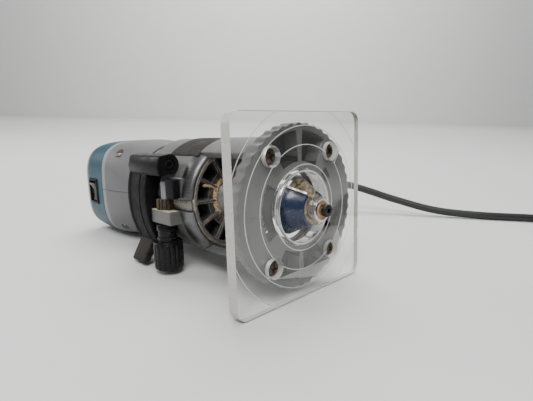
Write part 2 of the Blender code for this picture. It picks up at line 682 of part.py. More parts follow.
def smooth_points(knots, spacing):
    """Centripetal curve through the knots, read at even steps."""
    pts = [knots[0] * 2 - knots[1]] + list(knots) + [knots[-1] * 2 - knots[-2]]
    dense = []
    for i in range(1, len(pts) - 2):
        p0, p1, p2, p3 = pts[i - 1], pts[i], pts[i + 1], pts[i + 2]
        t0 = 0.0
        t1 = t0 + max((p1 - p0).length, 1e-6) ** 0.5
        t2 = t1 + (p2 - p1).length ** 0.5
        t3 = t2 + max((p3 - p2).length, 1e-6) ** 0.5
        for k in range(24):
            t = t1 + (t2 - t1) * k / 24
            a1 = p0 * ((t1 - t) / (t1 - t0)) + p1 * ((t - t0) / (t1 - t0))
            a2 = p1 * ((t2 - t) / (t2 - t1)) + p2 * ((t - t1) / (t2 - t1))
            a3 = p2 * ((t3 - t) / (t3 - t2)) + p3 * ((t - t2) / (t3 - t2))
            b1 = a1 * ((t2 - t) / (t2 - t0)) + a2 * ((t - t0) / (t2 - t0))
            b2 = a2 * ((t3 - t) / (t3 - t1)) + a3 * ((t - t1) / (t3 - t1))
            dense.append(b1 * ((t2 - t) / (t2 - t1)) + b2 * ((t - t1) / (t2 - t1)))
    dense.append(knots[-1])
    total = sum((b - a).length for a, b in zip(dense, dense[1:]))
    count = max(2, round(total / spacing))
    out, walked, goal = [dense[0]], 0.0, total / count
    for a, b in zip(dense, dense[1:]):
        step = (b - a).length
        while walked + step >= goal - 1e-9 and len(out) < count:
            out.append(a.lerp(b, (goal - walked) / step))
            goal += total / count
        walked += step
    out.append(dense[-1])
    return out


def cord_curve(name, points):
    curve = bpy.data.curves.new(name, "CURVE")
    curve.dimensions = "3D"
    curve.bevel_depth = CORD_R * MM
    curve.bevel_resolution = 2
    curve.use_fill_caps = True
    line = curve.splines.new("POLY")
    line.points.add(len(points) - 1)
    for slot, p in zip(line.points, points):
        slot.co = (p.x * MM, p.y * MM, p.z * MM, 1.0)
    made = bpy.data.objects.new(name, curve)
    PARTS.objects.link(made)
    return made


def lead_frame():
    """Start point and heading of the plug's lead, on the floor plan."""
    a = math.radians(LEAD_TURN)
    out = Vector((math.cos(a), math.sin(a), 0))
    heading = Vector((math.sin(a), -math.cos(a), 0))
    return Vector((COIL_X, COIL_Y, LEAD_Z)) + out * LEAD_R, heading


def along_lead(piece, distance):
    """Moves a piece drawn along +X from its origin onto the lead's line, in metres."""
    start, heading = lead_frame()
    turn = Vector((1, 0, 0)).rotation_difference(heading).to_matrix().to_4x4()
    piece.data.transform(Matrix.Scale(MM, 4) @ Matrix.Translation(start + heading * distance) @ turn)
    return piece


def make_cord_coil():
    circle = arc(COIL_R, 0, 360 - 36, 9)
    profile = [(b, COIL_MID_R + a) for a, b in circle]
    return lathe("cord_coil", profile, steps=28, axis=(0, 0, 1), centre=(COIL_X, COIL_Y, COIL_Z))


def make_cord_tie():
    tie = ring("cord_tie", COIL_R + 0.6, COIL_R + 1.5, -4.0, 4.0, 16)
    place = Matrix.Translation((COIL_X, COIL_Y, COIL_Z)) @ Matrix.Rotation(math.radians(60), 4, "Z")
    tie.data.transform(place @ Matrix.Translation((0, -COIL_MID_R, 0)))
    return tie


def make_plug_body():
    body = box("plug_body", (22.0, -12.5, -7.4), (58.0, 12.5, 7.6))
    edge = body.modifiers.new("edge", "BEVEL")
    edge.width, edge.segments, edge.limit_method = 2.5, 2, "ANGLE"
    bpy.context.view_layer.update()
    graph = bpy.context.evaluated_depsgraph_get()
    body.data = bpy.data.meshes.new_from_object(body.evaluated_get(graph))
    body.modifiers.clear()
    return join(body, rod("relief", 4.4, 0.0, 24.0, (0, 0), steps=14, radius_end=6.2))


def make_plug_blade(index, side):
    y = side * 6.35
    return box("plug_blade_%d" % index, (58.3, y - 0.75, -3.1), (75.0, y + 0.75, 3.1))


def make_cord_guard():
    profile = [(33.2, 0.0), (33.2, 8.6), (34.8, 8.6), (34.8, 7.0), (39.2, 7.0), (40.0, 6.6),
               (GUARD_END_Y, 4.6), (GUARD_END_Y, 0.0)]
    return lathe("cord_guard", profile, steps=16, axis=(0, 1, 0), centre=(GUARD_X, 0, GUARD_Z))


def settle_world(piece, mat):
    piece.data.materials.clear()
    piece.data.materials.append(mat)
    if piece.type == "MESH":
        crease(piece.data)


def build():
    acrylic = material("clear_acrylic", (0.86, 0.89, 0.88), 0.08, clear=0.9)
    cast = material("cast_aluminium", (0.42, 0.42, 0.41), 0.45, 1.0)
    drawn = material("drawn_aluminium", (0.66, 0.66, 0.65), 0.35, 1.0)
    steel = material("bright_steel", (0.55, 0.55, 0.54), 0.3, 1.0)
    dark_steel = material("blackened_steel", (0.05, 0.045, 0.04), 0.4, 1.0)
    laminate = material("laminated_steel", (0.2, 0.19, 0.18), 0.5, 1.0)
    black = material("black_plastic", (0.02, 0.02, 0.022), 0.5)
    rubber = material("charcoal_rubber", (0.11, 0.105, 0.1), 0.75)
    teal = material("teal_plastic", (0.05, 0.2, 0.27), 0.45)
    grey = material("grey_plastic", (0.36, 0.36, 0.37), 0.5)
    pale = material("pale_plastic", (0.6, 0.6, 0.6), 0.5)
    blue = material("blue_paint", (0.012, 0.04, 0.12), 0.35, 0.2)
    carbide = material("carbide", (0.35, 0.34, 0.32), 0.3, 1.0)
    bronze = material("bronze_seal", (0.5, 0.33, 0.18), 0.45, 0.3)
    copper = material("copper", (0.6, 0.28, 0.14), 0.35, 1.0)
    graphite = material("graphite", (0.06, 0.06, 0.06), 0.6)
    brass = material("brass", (0.6, 0.45, 0.2), 0.35, 1.0)

    settle(make_insert_plate(), acrylic, "base")
    for i, (y, z) in enumerate(screw_places(), 1):
        settle(make_plate_screw(i, y, z), dark_steel, "base")
    settle(make_base_casting(), cast, "base")
    settle(make_grip_panel(), rubber, "base")
    settle(make_clamp_block(), black, "base")
    settle(make_lever_bolt(), dark_steel, "base")
    settle(make_lock_lever(), black, "lever_axis")
    settle(make_adjust_knob(), black, "knob_axis")
    settle(make_pinion_shaft(), steel, "knob_axis")

    settle(make_motor_barrel(), drawn, "motor")
    settle(make_rack(), steel, "motor")
    settle(make_front_end_cap(), cast, "motor")
    settle(ring("front_bearing", 5.2, 11.0, -69.7, -61.3, 20), steel, "motor")
    settle(make_stator(), laminate, "motor")
    settle(ring("rear_bearing", 3.3, 9.6, -166.0, -159.5, 20), steel, "motor")
    settle(make_brush_carrier(), black, "motor")
    for i, side in ((1, -1), (2, 1)):
        settle(make_brush_holder(i, side), brass, "motor")
        settle(make_brush(i, side), graphite, "motor")
        settle(make_housing_screw(i, side), dark_steel, "motor")
    settle(make_housing_half("housing_upper", True), grey, "motor")
    settle(make_housing_half("housing_lower", False), grey, "motor")
    settle(make_rear_cap(), teal, "motor")
    settle(make_end_plate(), pale, "motor")
    settle(make_switch_bezel(), black, "motor")
    settle(make_cord_guard(), black, "motor")
    settle(make_rocker_switch(), black, "rocker_axis")

    settle(make_spindle_shaft(), steel, "spindle_axis")
    settle(ring("armature_core", 4.2, 16.8, -102.0, -78.0, 20), laminate, "spindle_axis")
    settle(ring("commutator", 4.2, 10.6, -151.0, -138.0, 20), copper, "spindle_axis")
    settle(make_cooling_fan(), black, "spindle_axis")
    settle(make_collet(), steel, "spindle_axis")
    settle(make_collet_nut(), dark_steel, "spindle_axis")
    settle(make_bit_body(), blue, "spindle_axis")
    settle(make_carbide(1, 0), carbide, "spindle_axis")
    settle(make_carbide(2, 180), carbide, "spindle_axis")
    settle(make_pilot_seal(), bronze, "spindle_axis")
    settle(make_pilot_screw(), dark_steel, "spindle_axis")
    settle(make_pilot_ring(), steel, "pilot_axis")

    settle_world(cord_curve("cord_tube", smooth_points(cord_points(), 13.0)), black)
    start, heading = lead_frame()
    lead = [start + heading * d for d in (LEAD_FROM, (LEAD_FROM + PLUG_FROM) / 2, PLUG_FROM - FIT)]
    settle_world(cord_curve("cord_lead", lead), black)
    for piece, mat in ((make_cord_coil(), black), (make_cord_tie(), rubber)):
        piece.data.transform(Matrix.Scale(MM, 4))
        settle_world(piece, mat)
    settle_world(along_lead(make_plug_body(), PLUG_FROM), black)
    settle_world(along_lead(make_plug_blade(1, -1), PLUG_FROM), brass)
    settle_world(along_lead(make_plug_blade(2, 1), PLUG_FROM), brass)


wipe_scene()
PARTS = collection("compact_router_on_insert_plate")
PIVOTS = {"motor": (0, 0, 0), "base": (0, 0, 0), "lever_axis": (0, PIVOT_Y, PIVOT_Z),
          "knob_axis": (KNOB_X, KNOB_Y, 0), "rocker_axis": (SWITCH_X, SWITCH_Y, SWITCH_Z),
          "spindle_axis": (0, 0, 0), "pilot_axis": (9.2, 0, 0)}
FRAME = empty("tool_frame", (FRAME_X, FRAME_Y, FRAME_Z))
FRAME.rotation_euler = (0.0, -math.radians(TILT), 0.0)
HOLDERS = {"motor": FRAME}
HOLDERS["base"] = empty("base_slide", PIVOTS["base"], FRAME)
for axis_name, above in (("lever_axis", "base"), ("knob_axis", "base"), ("rocker_axis", "motor"),
                         ("spindle_axis", "motor"), ("pilot_axis", "spindle_axis")):
    HOLDERS[axis_name] = empty(axis_name, PIVOTS[axis_name], HOLDERS[above])
build()
bpy.context.view_layer.update()
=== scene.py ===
import json
import math

import bmesh
import bpy
from mathutils import Matrix, Vector, noise


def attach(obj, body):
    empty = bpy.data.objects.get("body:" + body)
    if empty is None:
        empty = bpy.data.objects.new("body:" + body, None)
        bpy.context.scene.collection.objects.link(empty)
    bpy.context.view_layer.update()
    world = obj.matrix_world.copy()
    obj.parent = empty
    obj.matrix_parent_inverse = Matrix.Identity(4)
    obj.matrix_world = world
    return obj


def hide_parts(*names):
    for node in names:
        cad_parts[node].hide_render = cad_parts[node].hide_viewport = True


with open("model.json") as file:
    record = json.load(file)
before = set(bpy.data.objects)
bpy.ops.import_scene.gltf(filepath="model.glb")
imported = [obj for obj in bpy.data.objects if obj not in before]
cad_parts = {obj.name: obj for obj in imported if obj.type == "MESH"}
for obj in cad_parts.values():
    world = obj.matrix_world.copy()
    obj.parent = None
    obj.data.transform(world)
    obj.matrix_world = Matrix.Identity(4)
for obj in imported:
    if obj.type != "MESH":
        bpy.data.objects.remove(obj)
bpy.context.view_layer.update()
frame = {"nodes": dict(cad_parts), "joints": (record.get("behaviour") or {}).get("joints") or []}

# ---- the tool's own frame: X along the spindle, Z up across the tool, millimetres ----
MM = 0.001
JOINTS = {joint["name"]: joint for joint in frame["joints"]}
PILOT_X = 9.2
SPINDLE = Vector(JOINTS["spindle_turn"]["axis"]).normalized()
ACROSS = Vector((0.0, 1.0, 0.0))
UP = SPINDLE.cross(ACROSS)
ORIGIN = Vector(JOINTS["pilot_turn"]["pos_m"]) - SPINDLE * PILOT_X * MM
TOOL = Matrix((SPINDLE, ACROSS, UP)).transposed().to_4x4()
TOOL.translation = ORIGIN

# ---- driving dimensions, as the CAD has them ----
PLATE_HALF, PLATE_THICK, PLATE_CORNER, PLATE_SHIFT_Z = 50.0, 6.35, 6.5, 0.7
PLATE_HOLE_R = 19.3
SCREW_Y, SCREW_Z, SCREW_SEAT = 23.5, 28.6, -5.2
SCORED_R = (23.2, 33.5, 43.4, 54.2)
FLANGE_R, FLANGE_FRONT, FLANGE_BACK, FLANGE_SCALLOPS = 45.0, -6.65, -13.2, 44
BASE_BORE_R = 19.5
RING_BORE_R, RING_R, RING_FRONT, RING_BACK = 32.8, 37.0, -56.6, -111.0
LEG_HALF_ANGLE = 38.0
BARREL_R, BARREL_BORE_R, BARREL_FRONT, BARREL_BACK = 32.5, 30.0, -56.3, -131.0
KNOB_X, KNOB_Y, SHAFT_BORE_R = -78.5, -38.55, 2.4
LEDGE_Z, CHANNEL_TOP_Z = -4.4, 3.0
PIVOT_Y, PIVOT_Z, BOLT_HOLE_R = -36.8, 23.2, 2.15
EAR_BACK, EAR_FRONT = -95.0, -86.0
GRIP_BACK, GRIP_FRONT, GRIP_HALF_ANGLE = -92.0, -61.0, 42.0
LEVER_BACK, LEVER_FRONT, CHEEK_FRONT = -110.0, -88.3, -73.0
HOUSING_FRONT, CAP_FRONT, CAP_BACK, END_BACK = -126.0, -170.3, -197.0, -202.5
HOUSING_SCREW_X, HOUSING_SCREW_Y = -152.0, 31.0
SPOKE_ANGLES = range(0, 360, 30)
SWITCH_X, SWITCH_Y, SWITCH_Z, SWITCH_LEAN = -186.5, -36.0, -2.0, 7.0
BEZEL_HALF_X, BEZEL_HALF_Z = 7.2, 9.7
FIT = 0.3  # gap left round a piece set into another
GUARD_X, GUARD_Z, GUARD_END_Y = -183.0, 4.0, 66.0
ROUND = 144  # steps round the large turned surfaces


# ---- camera ----
CAMERA_AT = (140.11, -164.19, 41.58)
CAMERA_YAW, CAMERA_PITCH, CAMERA_ROLL = -45.986, -9.816, -1.755
LENS = 27.6


def placed(name, data):
    """A new object, linked into the scene."""
    made = bpy.data.objects.new(name, data)
    bpy.context.scene.collection.objects.link(made)
    return made


def make_camera():
    yaw, pitch, roll = (math.radians(a) for a in (CAMERA_YAW, CAMERA_PITCH, CAMERA_ROLL))
    ahead = Vector((math.cos(pitch) * math.sin(yaw), math.cos(pitch) * math.cos(yaw), math.sin(pitch)))
    right = ahead.cross(Vector((0, 0, 1))).normalized()
    top = right.cross(ahead)
    right, top = (right * math.cos(roll) + top * math.sin(roll),
                  top * math.cos(roll) - right * math.sin(roll))
    data = bpy.data.cameras.new("camera")
    data.lens = LENS
    data.clip_start = 0.01
    camera = placed("camera", data)
    turn = Matrix((right, top, -ahead)).transposed().to_4x4()
    camera.matrix_world = TOOL @ Matrix.Translation(Vector(CAMERA_AT) * MM) @ turn
    bpy.context.scene.camera = camera


make_camera()


# ---- small tools for meshes, in millimetres in the tool's frame ----
def to_object(name, bm):
    bmesh.ops.remove_doubles(bm, verts=bm.verts, dist=0.001)
    bmesh.ops.recalc_face_normals(bm, faces=bm.faces)
    mesh = bpy.data.meshes.new(name)
    bm.to_mesh(mesh)
    bm.free()
    return placed(name, mesh)


def lathe(name, profile, steps=96, axis=(1, 0, 0), centre=(0, 0, 0)):
    """Spins (along, radius) points round the X axis, or round an axis given by a vector."""
    bm = bmesh.new()
    verts = [bm.verts.new((a, 0.0, r)) for a, r in profile]
    on_axis = abs(profile[0][1]) < 1e-9 and abs(profile[-1][1]) < 1e-9
    pairs = list(zip(verts, verts[1:] + verts[:1]))
    edges = [bm.edges.new(p) for p in (pairs[:-1] if on_axis else pairs)]
    bmesh.ops.spin(bm, geom=verts + edges, cent=(0, 0, 0), axis=(1, 0, 0), dvec=(0, 0, 0),
                   angle=math.tau, steps=steps, use_duplicate=False)
    turn = Vector((1, 0, 0)).rotation_difference(Vector(axis)).to_matrix().to_4x4()
    bmesh.ops.transform(bm, matrix=Matrix.Translation(centre) @ turn, verts=bm.verts)
    return to_object(name, bm)


def box(name, low, high):
    bm = bmesh.new()
    bmesh.ops.create_cube(bm, size=1.0)
    bmesh.ops.scale(bm, vec=[h - l for l, h in zip(low, high)], verts=bm.verts)
    bmesh.ops.translate(bm, vec=[(l + h) / 2 for l, h in zip(low, high)], verts=bm.verts)
    return to_object(name, bm)


def rod(name, radius, start, end, at, axis="X", steps=48, radius_end=None, spin=0.0):
    """A cylinder or cone along one axis; "at" is its place in the other two axes."""
    bm = bmesh.new()
    bmesh.ops.create_cone(bm, cap_ends=True, segments=steps, radius1=radius,
                          radius2=radius if radius_end is None else radius_end, depth=end - start)
    turn = {"X": Matrix.Rotation(math.radians(90), 4, "Y"), "Y": Matrix.Rotation(math.radians(-90), 4, "X"),
            "Z": Matrix.Identity(4)}[axis]
    mid = (start + end) / 2
    place = {"X": (mid, at[0], at[1]), "Y": (at[0], mid, at[1]), "Z": (at[0], at[1], mid)}[axis]
    spun = Matrix.Rotation(math.radians(spin), 4, "Z")
    bmesh.ops.transform(bm, matrix=Matrix.Translation(place) @ turn @ spun, verts=bm.verts)
    return to_object(name, bm)


def prism(name, outline, start, end, axis="X"):
    """Extrudes a flat outline along X (outline in Y, Z) or along Z (outline in X, Y)."""
    bm = bmesh.new()
    along_x = axis == "X"
    verts = [bm.verts.new((start, a, b) if along_x else (a, b, start)) for a, b in outline]
    out = bmesh.ops.extrude_face_region(bm, geom=[bm.faces.new(verts)])
    moved = [g for g in out["geom"] if isinstance(g, bmesh.types.BMVert)]
    reach = end - start
    bmesh.ops.translate(bm, vec=(reach, 0, 0) if along_x else (0, 0, reach), verts=moved)
    return to_object(name, bm)


def loft(name, sections):
    """Skins a row of rings, each a list of 3-D points, and closes both ends."""
    bm = bmesh.new()
    rings = [[bm.verts.new(p) for p in ring] for ring in sections]
    for ring, following in zip(rings, rings[1:]):
        for i in range(len(ring)):
            j = (i + 1) % len(ring)
            bm.faces.new((ring[i], ring[j], following[j], following[i]))
    bm.faces.new(rings[0])
    bm.faces.new(rings[-1])
    return to_object(name, bm)


def evaluated(piece):
    bpy.context.view_layer.update()
    graph = bpy.context.evaluated_depsgraph_get()
    return bpy.data.meshes.new_from_object(piece.evaluated_get(graph))


def volume(mesh):
    """The mesh's volume, or None where it isn't closed."""
    bm = bmesh.new()
    bm.from_mesh(mesh)
    closed = len(bm.verts) > 0 and all(len(edge.link_faces) == 2 for edge in bm.edges)
    size = abs(bm.calc_volume()) if closed else None
    bm.free()
    return size


def boolean(piece, tool, kind, solvers=("MANIFOLD", "EXACT")):
    """Joins or cuts with the first solver, and with the next where that doesn't give a sound result."""
    start, other = volume(piece.data), volume(tool.data)
    for solver in solvers:
        mod = piece.modifiers.new(kind, "BOOLEAN")
        mod.operation, mod.solver, mod.object = kind, solver, tool
        mesh = evaluated(piece)
        piece.modifiers.clear()
        now = volume(mesh)
        if now is None or start is None or other is None:
            continue
        if kind == "UNION" and max(start, other) * 0.999 < now <= (start + other) * 1.001 and now != start:
            break
        if kind == "DIFFERENCE" and (start - other) * 0.999 - 0.01 < now < start:
            break
    piece.data = mesh
    mesh.name = piece.name
    bpy.data.objects.remove(tool, do_unlink=True)
    return piece


def cut(piece, tool, **settings):
    return boolean(piece, tool, "DIFFERENCE", **settings)


def join(piece, tool, **settings):
    return boolean(piece, tool, "UNION", **settings)


def merged(objects):
    bm = bmesh.new()
    for item in objects:
        bm.from_mesh(item.data)
    name = objects[0].name
    for item in objects:
        bpy.data.objects.remove(item, do_unlink=True)
    return to_object(name, bm)


def bevel(piece, width, segments=2, degrees=35, clamp=False):
    """Rounds the sharp edges, in millimetres, and keeps the result."""
    mod = piece.modifiers.new("edge", "BEVEL")
    mod.width, mod.segments, mod.limit_method = width, segments, "ANGLE"
    mod.angle_limit = math.radians(degrees)
    mod.use_clamp_overlap = clamp
    piece.data = evaluated(piece)
    piece.modifiers.clear()
    return piece


def polar(radius, degrees):
    return (radius * math.cos(math.radians(degrees)), radius * math.sin(math.radians(degrees)))


def arc(radius, a0, a1, steps, cy=0.0, cz=0.0):
    points = [polar(radius, a0 + (a1 - a0) * i / steps) for i in range(steps + 1)]
    return [(cy + y, cz + z) for y, z in points]


def soften(outline, radius, steps=4):
    """Rounds each sharp corner of a closed outline with a short curve."""
    out = []
    for i, point in enumerate(outline):
        p = Vector(point)
        u, v = Vector(outline[i - 1]) - p, Vector(outline[(i + 1) % len(outline)]) - p
        if u.length < 1e-6 or v.length < 1e-6:
            continue
        if u.angle(v) > math.radians(150):
            out.append(tuple(p))
            continue
        start = p + u.normalized() * min(radius, u.length * 0.48)
        end = p + v.normalized() * min(radius, v.length * 0.48)
        for k in range(steps + 1):
            t = k / steps
            out.append(tuple(start * (1 - t) ** 2 + p * 2 * t * (1 - t) + end * t * t))
    return out


def sector(r0, r1, a0, a1, steps=16):
    return arc(r1, a0, a1, steps) + arc(r0, a1, a0, steps)


def squircle(x, half_y, half_z, power, count=128):
    ring = []
    for i in range(count):
        a = math.tau * i / count
        c, s = math.cos(a), math.sin(a)
        r = ((abs(c) / half_y) ** power + (abs(s) / half_z) ** power) ** (-1 / power)
        ring.append((x, r * c, r * s))
    return ring


def blended(table, step):
    """Reads smooth rows between the rows of a table of (x, ...) sections."""
    rows = []
    for i in range(len(table) - 1):
        p = [Vector(table[max(0, min(len(table) - 1, k))]) for k in (i - 1, i, i + 1, i + 2)]
        count = max(1, round(abs(p[2][0] - p[1][0]) / step))
        for k in range(count):
            t = k / count
            rows.append(tuple(0.5 * (2 * p[1] + (p[2] - p[0]) * t
                                     + (2 * p[0] - 5 * p[1] + 4 * p[2] - p[3]) * t * t
                                     + (3 * p[1] - p[0] - 3 * p[2] + p[3]) * t ** 3)))
    return rows + [tuple(table[-1])]


def spun(piece, degrees, axis="X"):
    piece.data.transform(Matrix.Rotation(math.radians(degrees), 4, axis))
    return piece


def screw_places():
    return [(-SCREW_Y, SCREW_Z), (SCREW_Y, SCREW_Z), (SCREW_Y, -SCREW_Z), (-SCREW_Y, -SCREW_Z)]


def settle(piece, body, mats, nodes=(), smooth=30, pick=None, place=TOOL):
    """Puts a finished piece in the row's frame, on its body, in place of its CAD nodes."""
    mesh = piece.data
    mesh.transform(Matrix.Scale(MM, 4))
    mesh.materials.clear()
    for mat in mats:
        mesh.materials.append(mat)
    if pick:
        for face in mesh.polygons:
            face.material_index = pick(face.center / MM, face.normal)
    mesh.shade_smooth()
    mesh.set_sharp_from_angle(angle=math.radians(smooth))
    piece.matrix_world = place
    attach(piece, body)
    if nodes:
        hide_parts(*nodes)
    return piece


# ---- materials ----
class Paint:
    """One node material. Values that are the same all over are set on the shader's own sockets."""

    def __init__(self, name, rough=0.5, metal=0.0, **sockets):
        self.material = bpy.data.materials.new(name)
        self.material.use_nodes = True
        self.tree = self.material.node_tree
        self.shader = self.tree.nodes["Principled BSDF"]
        self.set("Roughness", rough)
        self.set("Metallic", metal)
        for socket, value in sockets.items():
            self.set(socket.replace("_", " "), value)
        coords = self.node("ShaderNodeTexCoord")
        self.place = coords.outputs["Object"]
        self.normal = coords.outputs["Normal"]

    def set(self, socket, value):
        if hasattr(value, "is_output"):
            self.tree.links.new(value, self.shader.inputs[socket])
        else:
            self.shader.inputs[socket].default_value = value

    def node(self, kind, inputs=(), **settings):
        made = self.tree.nodes.new(kind)
        for key, value in settings.items():
            setattr(made, key, value)
        for key, value in dict(inputs).items():
            if hasattr(value, "is_output"):
                self.tree.links.new(value, made.inputs[key])
            else:
                made.inputs[key].default_value = value
        return made

    def math(self, kind, a, b=0.0, c=0.0):
        return self.node("ShaderNodeMath", {0: a, 1: b, 2: c}, operation=kind).outputs[0]

    def stretched(self, vector, sizes):
        return self.node("ShaderNodeVectorMath", {0: vector, 1: sizes}, operation="MULTIPLY").outputs[0]

    def noise(self, size_mm, detail=4.0, rough=0.55, stretch=(1, 1, 1), vector=None):
        """Smooth noise with blobs about size_mm across, drawn out along an axis by stretch."""
        sizes = tuple(1 / (s * size_mm * MM) for s in stretch)
        scaled = self.stretched(vector or self.place, sizes)
        made = self.node("ShaderNodeTexNoise", {"Vector": scaled, "Scale": 1.0, "Detail": detail,
                                                "Roughness": rough})
        return made.outputs["Fac"]

    def cells(self, size_mm):
        scaled = self.stretched(self.place, (1 / (size_mm * MM),) * 3)
        return self.node("ShaderNodeTexVoronoi", {"Vector": scaled, "Scale": 1.0}).outputs["Distance"]

    def turned(self):
        """(angle, radius, distance along) round the spindle, for streaks on turned parts, in metres."""
        parts = self.node("ShaderNodeSeparateXYZ", {0: self.place}).outputs
        angle = self.math("ARCTAN2", parts["Z"], parts["Y"])
        squares = self.math("ADD", self.math("MULTIPLY", parts["Y"], parts["Y"]),
                            self.math("MULTIPLY", parts["Z"], parts["Z"]))
        radius = self.math("SQRT", squares)
        arc_way = self.math("MULTIPLY", angle, 0.035)
        return self.node("ShaderNodeCombineXYZ", {0: arc_way, 1: radius, 2: parts["X"]}).outputs[0]

    def ramp(self, value, low, high, start=0.0, end=1.0):
        """Maps value from low..high to start..end, without going past either."""
        return self.node("ShaderNodeMapRange", {"Value": value, "From Min": low, "From Max": high,
                                                "To Min": start, "To Max": end}).outputs[0]

    def mix(self, share, a, b):
        made = self.node("ShaderNodeMix", data_type="RGBA")
        for index, value in ((0, share), (6, a), (7, b)):
            if hasattr(value, "is_output"):
                self.tree.links.new(value, made.inputs[index])
            else:
                made.inputs[index].default_value = value if index == 0 else (*value, 1.0)
        return made.outputs[2]

    def bump(self, height, depth_mm, strength=1.0):
        made = self.node("ShaderNodeBump", {"Height": height, "Distance": depth_mm * MM,
                                            "Strength": strength})
        self.set("Normal", made.outputs["Normal"])

    def finish(self, colour, rough=None, bump=None):
        """Sets colour, roughness as the arguments of ramp, and bump as (height, depth in mm)."""
        self.set("Base Color", colour)
        if rough:
            self.set("Roughness", self.ramp(*rough))
        if bump:
            self.bump(*bump)
        return self.material

    def edges(self, radius_mm, share=1.0):
        """Up to share along sharp edges: where handling wears them, and on the barrel rim a painted highlight.
        """
        round_normal = self.node("ShaderNodeBevel", {"Radius": radius_mm * MM}, samples=4).outputs[0]
        true_normal = self.node("ShaderNodeNewGeometry").outputs["Normal"]
        dot = self.node("ShaderNodeVectorMath", {0: round_normal, 1: true_normal}, operation="DOT_PRODUCT")
        return self.ramp(dot.outputs["Value"], 0.995, 0.9, 0.0, share)

    def facing_up(self, low=0.2, high=0.9):
        return self.ramp(self.node("ShaderNodeSeparateXYZ", {0: self.normal}).outputs["Z"], low, high)


TAN = (0.46, 0.31, 0.17)
DUST = (0.15, 0.13, 0.105)


def dusted(paint, colour, dust=DUST, amount=0.6, size_mm=5.0, low=0.5, high=0.75):
    """Lays patchy dust over a colour, thicker on what faces up."""
    patches = paint.ramp(paint.noise(size_mm, 6.0, 0.65), low, high)
    lying = paint.ramp(paint.facing_up(-0.4, 0.9), 0.0, 1.0, 0.35, 1.0)
    share = paint.math("MULTIPLY", paint.math("MULTIPLY", patches, lying), amount)
    return paint.mix(share, colour, dust)


def clear_acrylic():
    """Clear, lightly scratched; lamps reach what is behind it."""
    paint = Paint("clear_acrylic", rough=0.04, IOR=1.49, Transmission_Weight=1.0, Specular_IOR_Level=0.22,
                  Base_Color=(0.965, 0.975, 0.965, 1.0))
    haze = paint.ramp(paint.noise(9.0, 6.0, 0.7), 0.45, 0.85, 0.0, 0.06)
    scratches = paint.ramp(paint.noise(0.5, 2.0, 0.5, stretch=(1, 1, 26)), 0.70, 0.78, 0.0, 0.16)
    paint.set("Roughness", paint.math("MAXIMUM", haze, scratches))
    tree = paint.tree
    lamp = paint.node("ShaderNodeLightPath").outputs["Is Shadow Ray"]
    open_way = paint.node("ShaderNodeBsdfTransparent", {"Color": (0.90, 0.91, 0.90, 1.0)})
    both = paint.node("ShaderNodeMixShader", {0: lamp, 1: paint.shader.outputs[0],
                                              2: open_way.outputs[0]})
    tree.links.new(both.outputs[0], tree.nodes["Material Output"].inputs["Surface"])
    return paint.material


def sawn_acrylic():
    """The plate's sides: matt, whitish and streaked across by the saw."""
    paint = Paint("sawn_acrylic", rough=0.42, IOR=1.49)
    saw = paint.noise(1.2, 4.0, 0.6, stretch=(6, 1, 1))
    stain = paint.noise(14.0, 5.0, 0.6)
    pale = paint.mix(saw, (0.40, 0.395, 0.37), (0.60, 0.595, 0.56))
    return paint.finish(paint.mix(paint.ramp(stain, 0.5, 0.8, 0.0, 0.45), pale, (0.40, 0.35, 0.27)),
                        bump=(saw, 0.08))


def mottled(name, size_mm, detail, fineness, dark, light, edges=None, rough=None, depth_mm=None,
            rough_all=0.5, **shader):
    """Patches of two colours, soft or cut off between two edges, with roughness and bump to match."""
    paint = Paint(name, rough=rough_all, **shader)
    patch = paint.noise(size_mm, detail, fineness)
    colour = paint.mix(paint.ramp(patch, *edges) if edges else patch, dark, light)
    return paint.finish(colour, rough and (patch, *rough), depth_mm and (patch, depth_mm))


def cast_alloy():
    """Bead-blasted aluminium with dust worked into it."""
    paint = Paint("cast_alloy", metal=0.5)
    grain = paint.noise(0.55, 4.0, 0.6)
    patch = paint.noise(11.0, 5.0, 0.6)
    colour = paint.mix(patch, (0.105, 0.105, 0.105), (0.175, 0.175, 0.17))
    colour = paint.mix(paint.ramp(grain, 0.35, 0.75, 0.0, 0.3), colour, (0.27, 0.27, 0.265))
    return paint.finish(dusted(paint, colour, amount=0.45),
                        rough=(patch, 0.3, 0.7, 0.46, 0.62), bump=(grain, 0.05))


def pocket_shade_alloy():
    """Painted shade on the casting's pocket floors and slot walls: near-black and rough, standing in for the
    shade in these recesses, with some real dust over it.
    """
    paint = Paint("pocket_shade_alloy", metal=0.35)
    grain = paint.noise(0.8, 5.0, 0.7)
    colour = paint.mix(grain, (0.010, 0.010, 0.011), (0.030, 0.029, 0.028))
    return paint.finish(dusted(paint, colour, dust=(0.12, 0.10, 0.07), amount=0.35, low=0.58),
                        rough=(grain, 0.3, 0.8, 0.5, 0.75), bump=(grain, 0.12))


def machined_alloy(name="machined_alloy", rough=0.16):
    """Turned aluminium, bright, with fine marks round the spindle."""
    paint = Paint(name, metal=1.0)
    marks = paint.noise(0.35, 3.0, 0.6, stretch=(60, 1, 1), vector=paint.turned())
    smears = paint.noise(6.0, 4.0, 0.6)
    return paint.finish(paint.mix(smears, (0.42, 0.42, 0.415), (0.66, 0.66, 0.65)),
                        rough=(smears, 0.3, 0.75, rough, rough + 0.2), bump=(marks, 0.02))


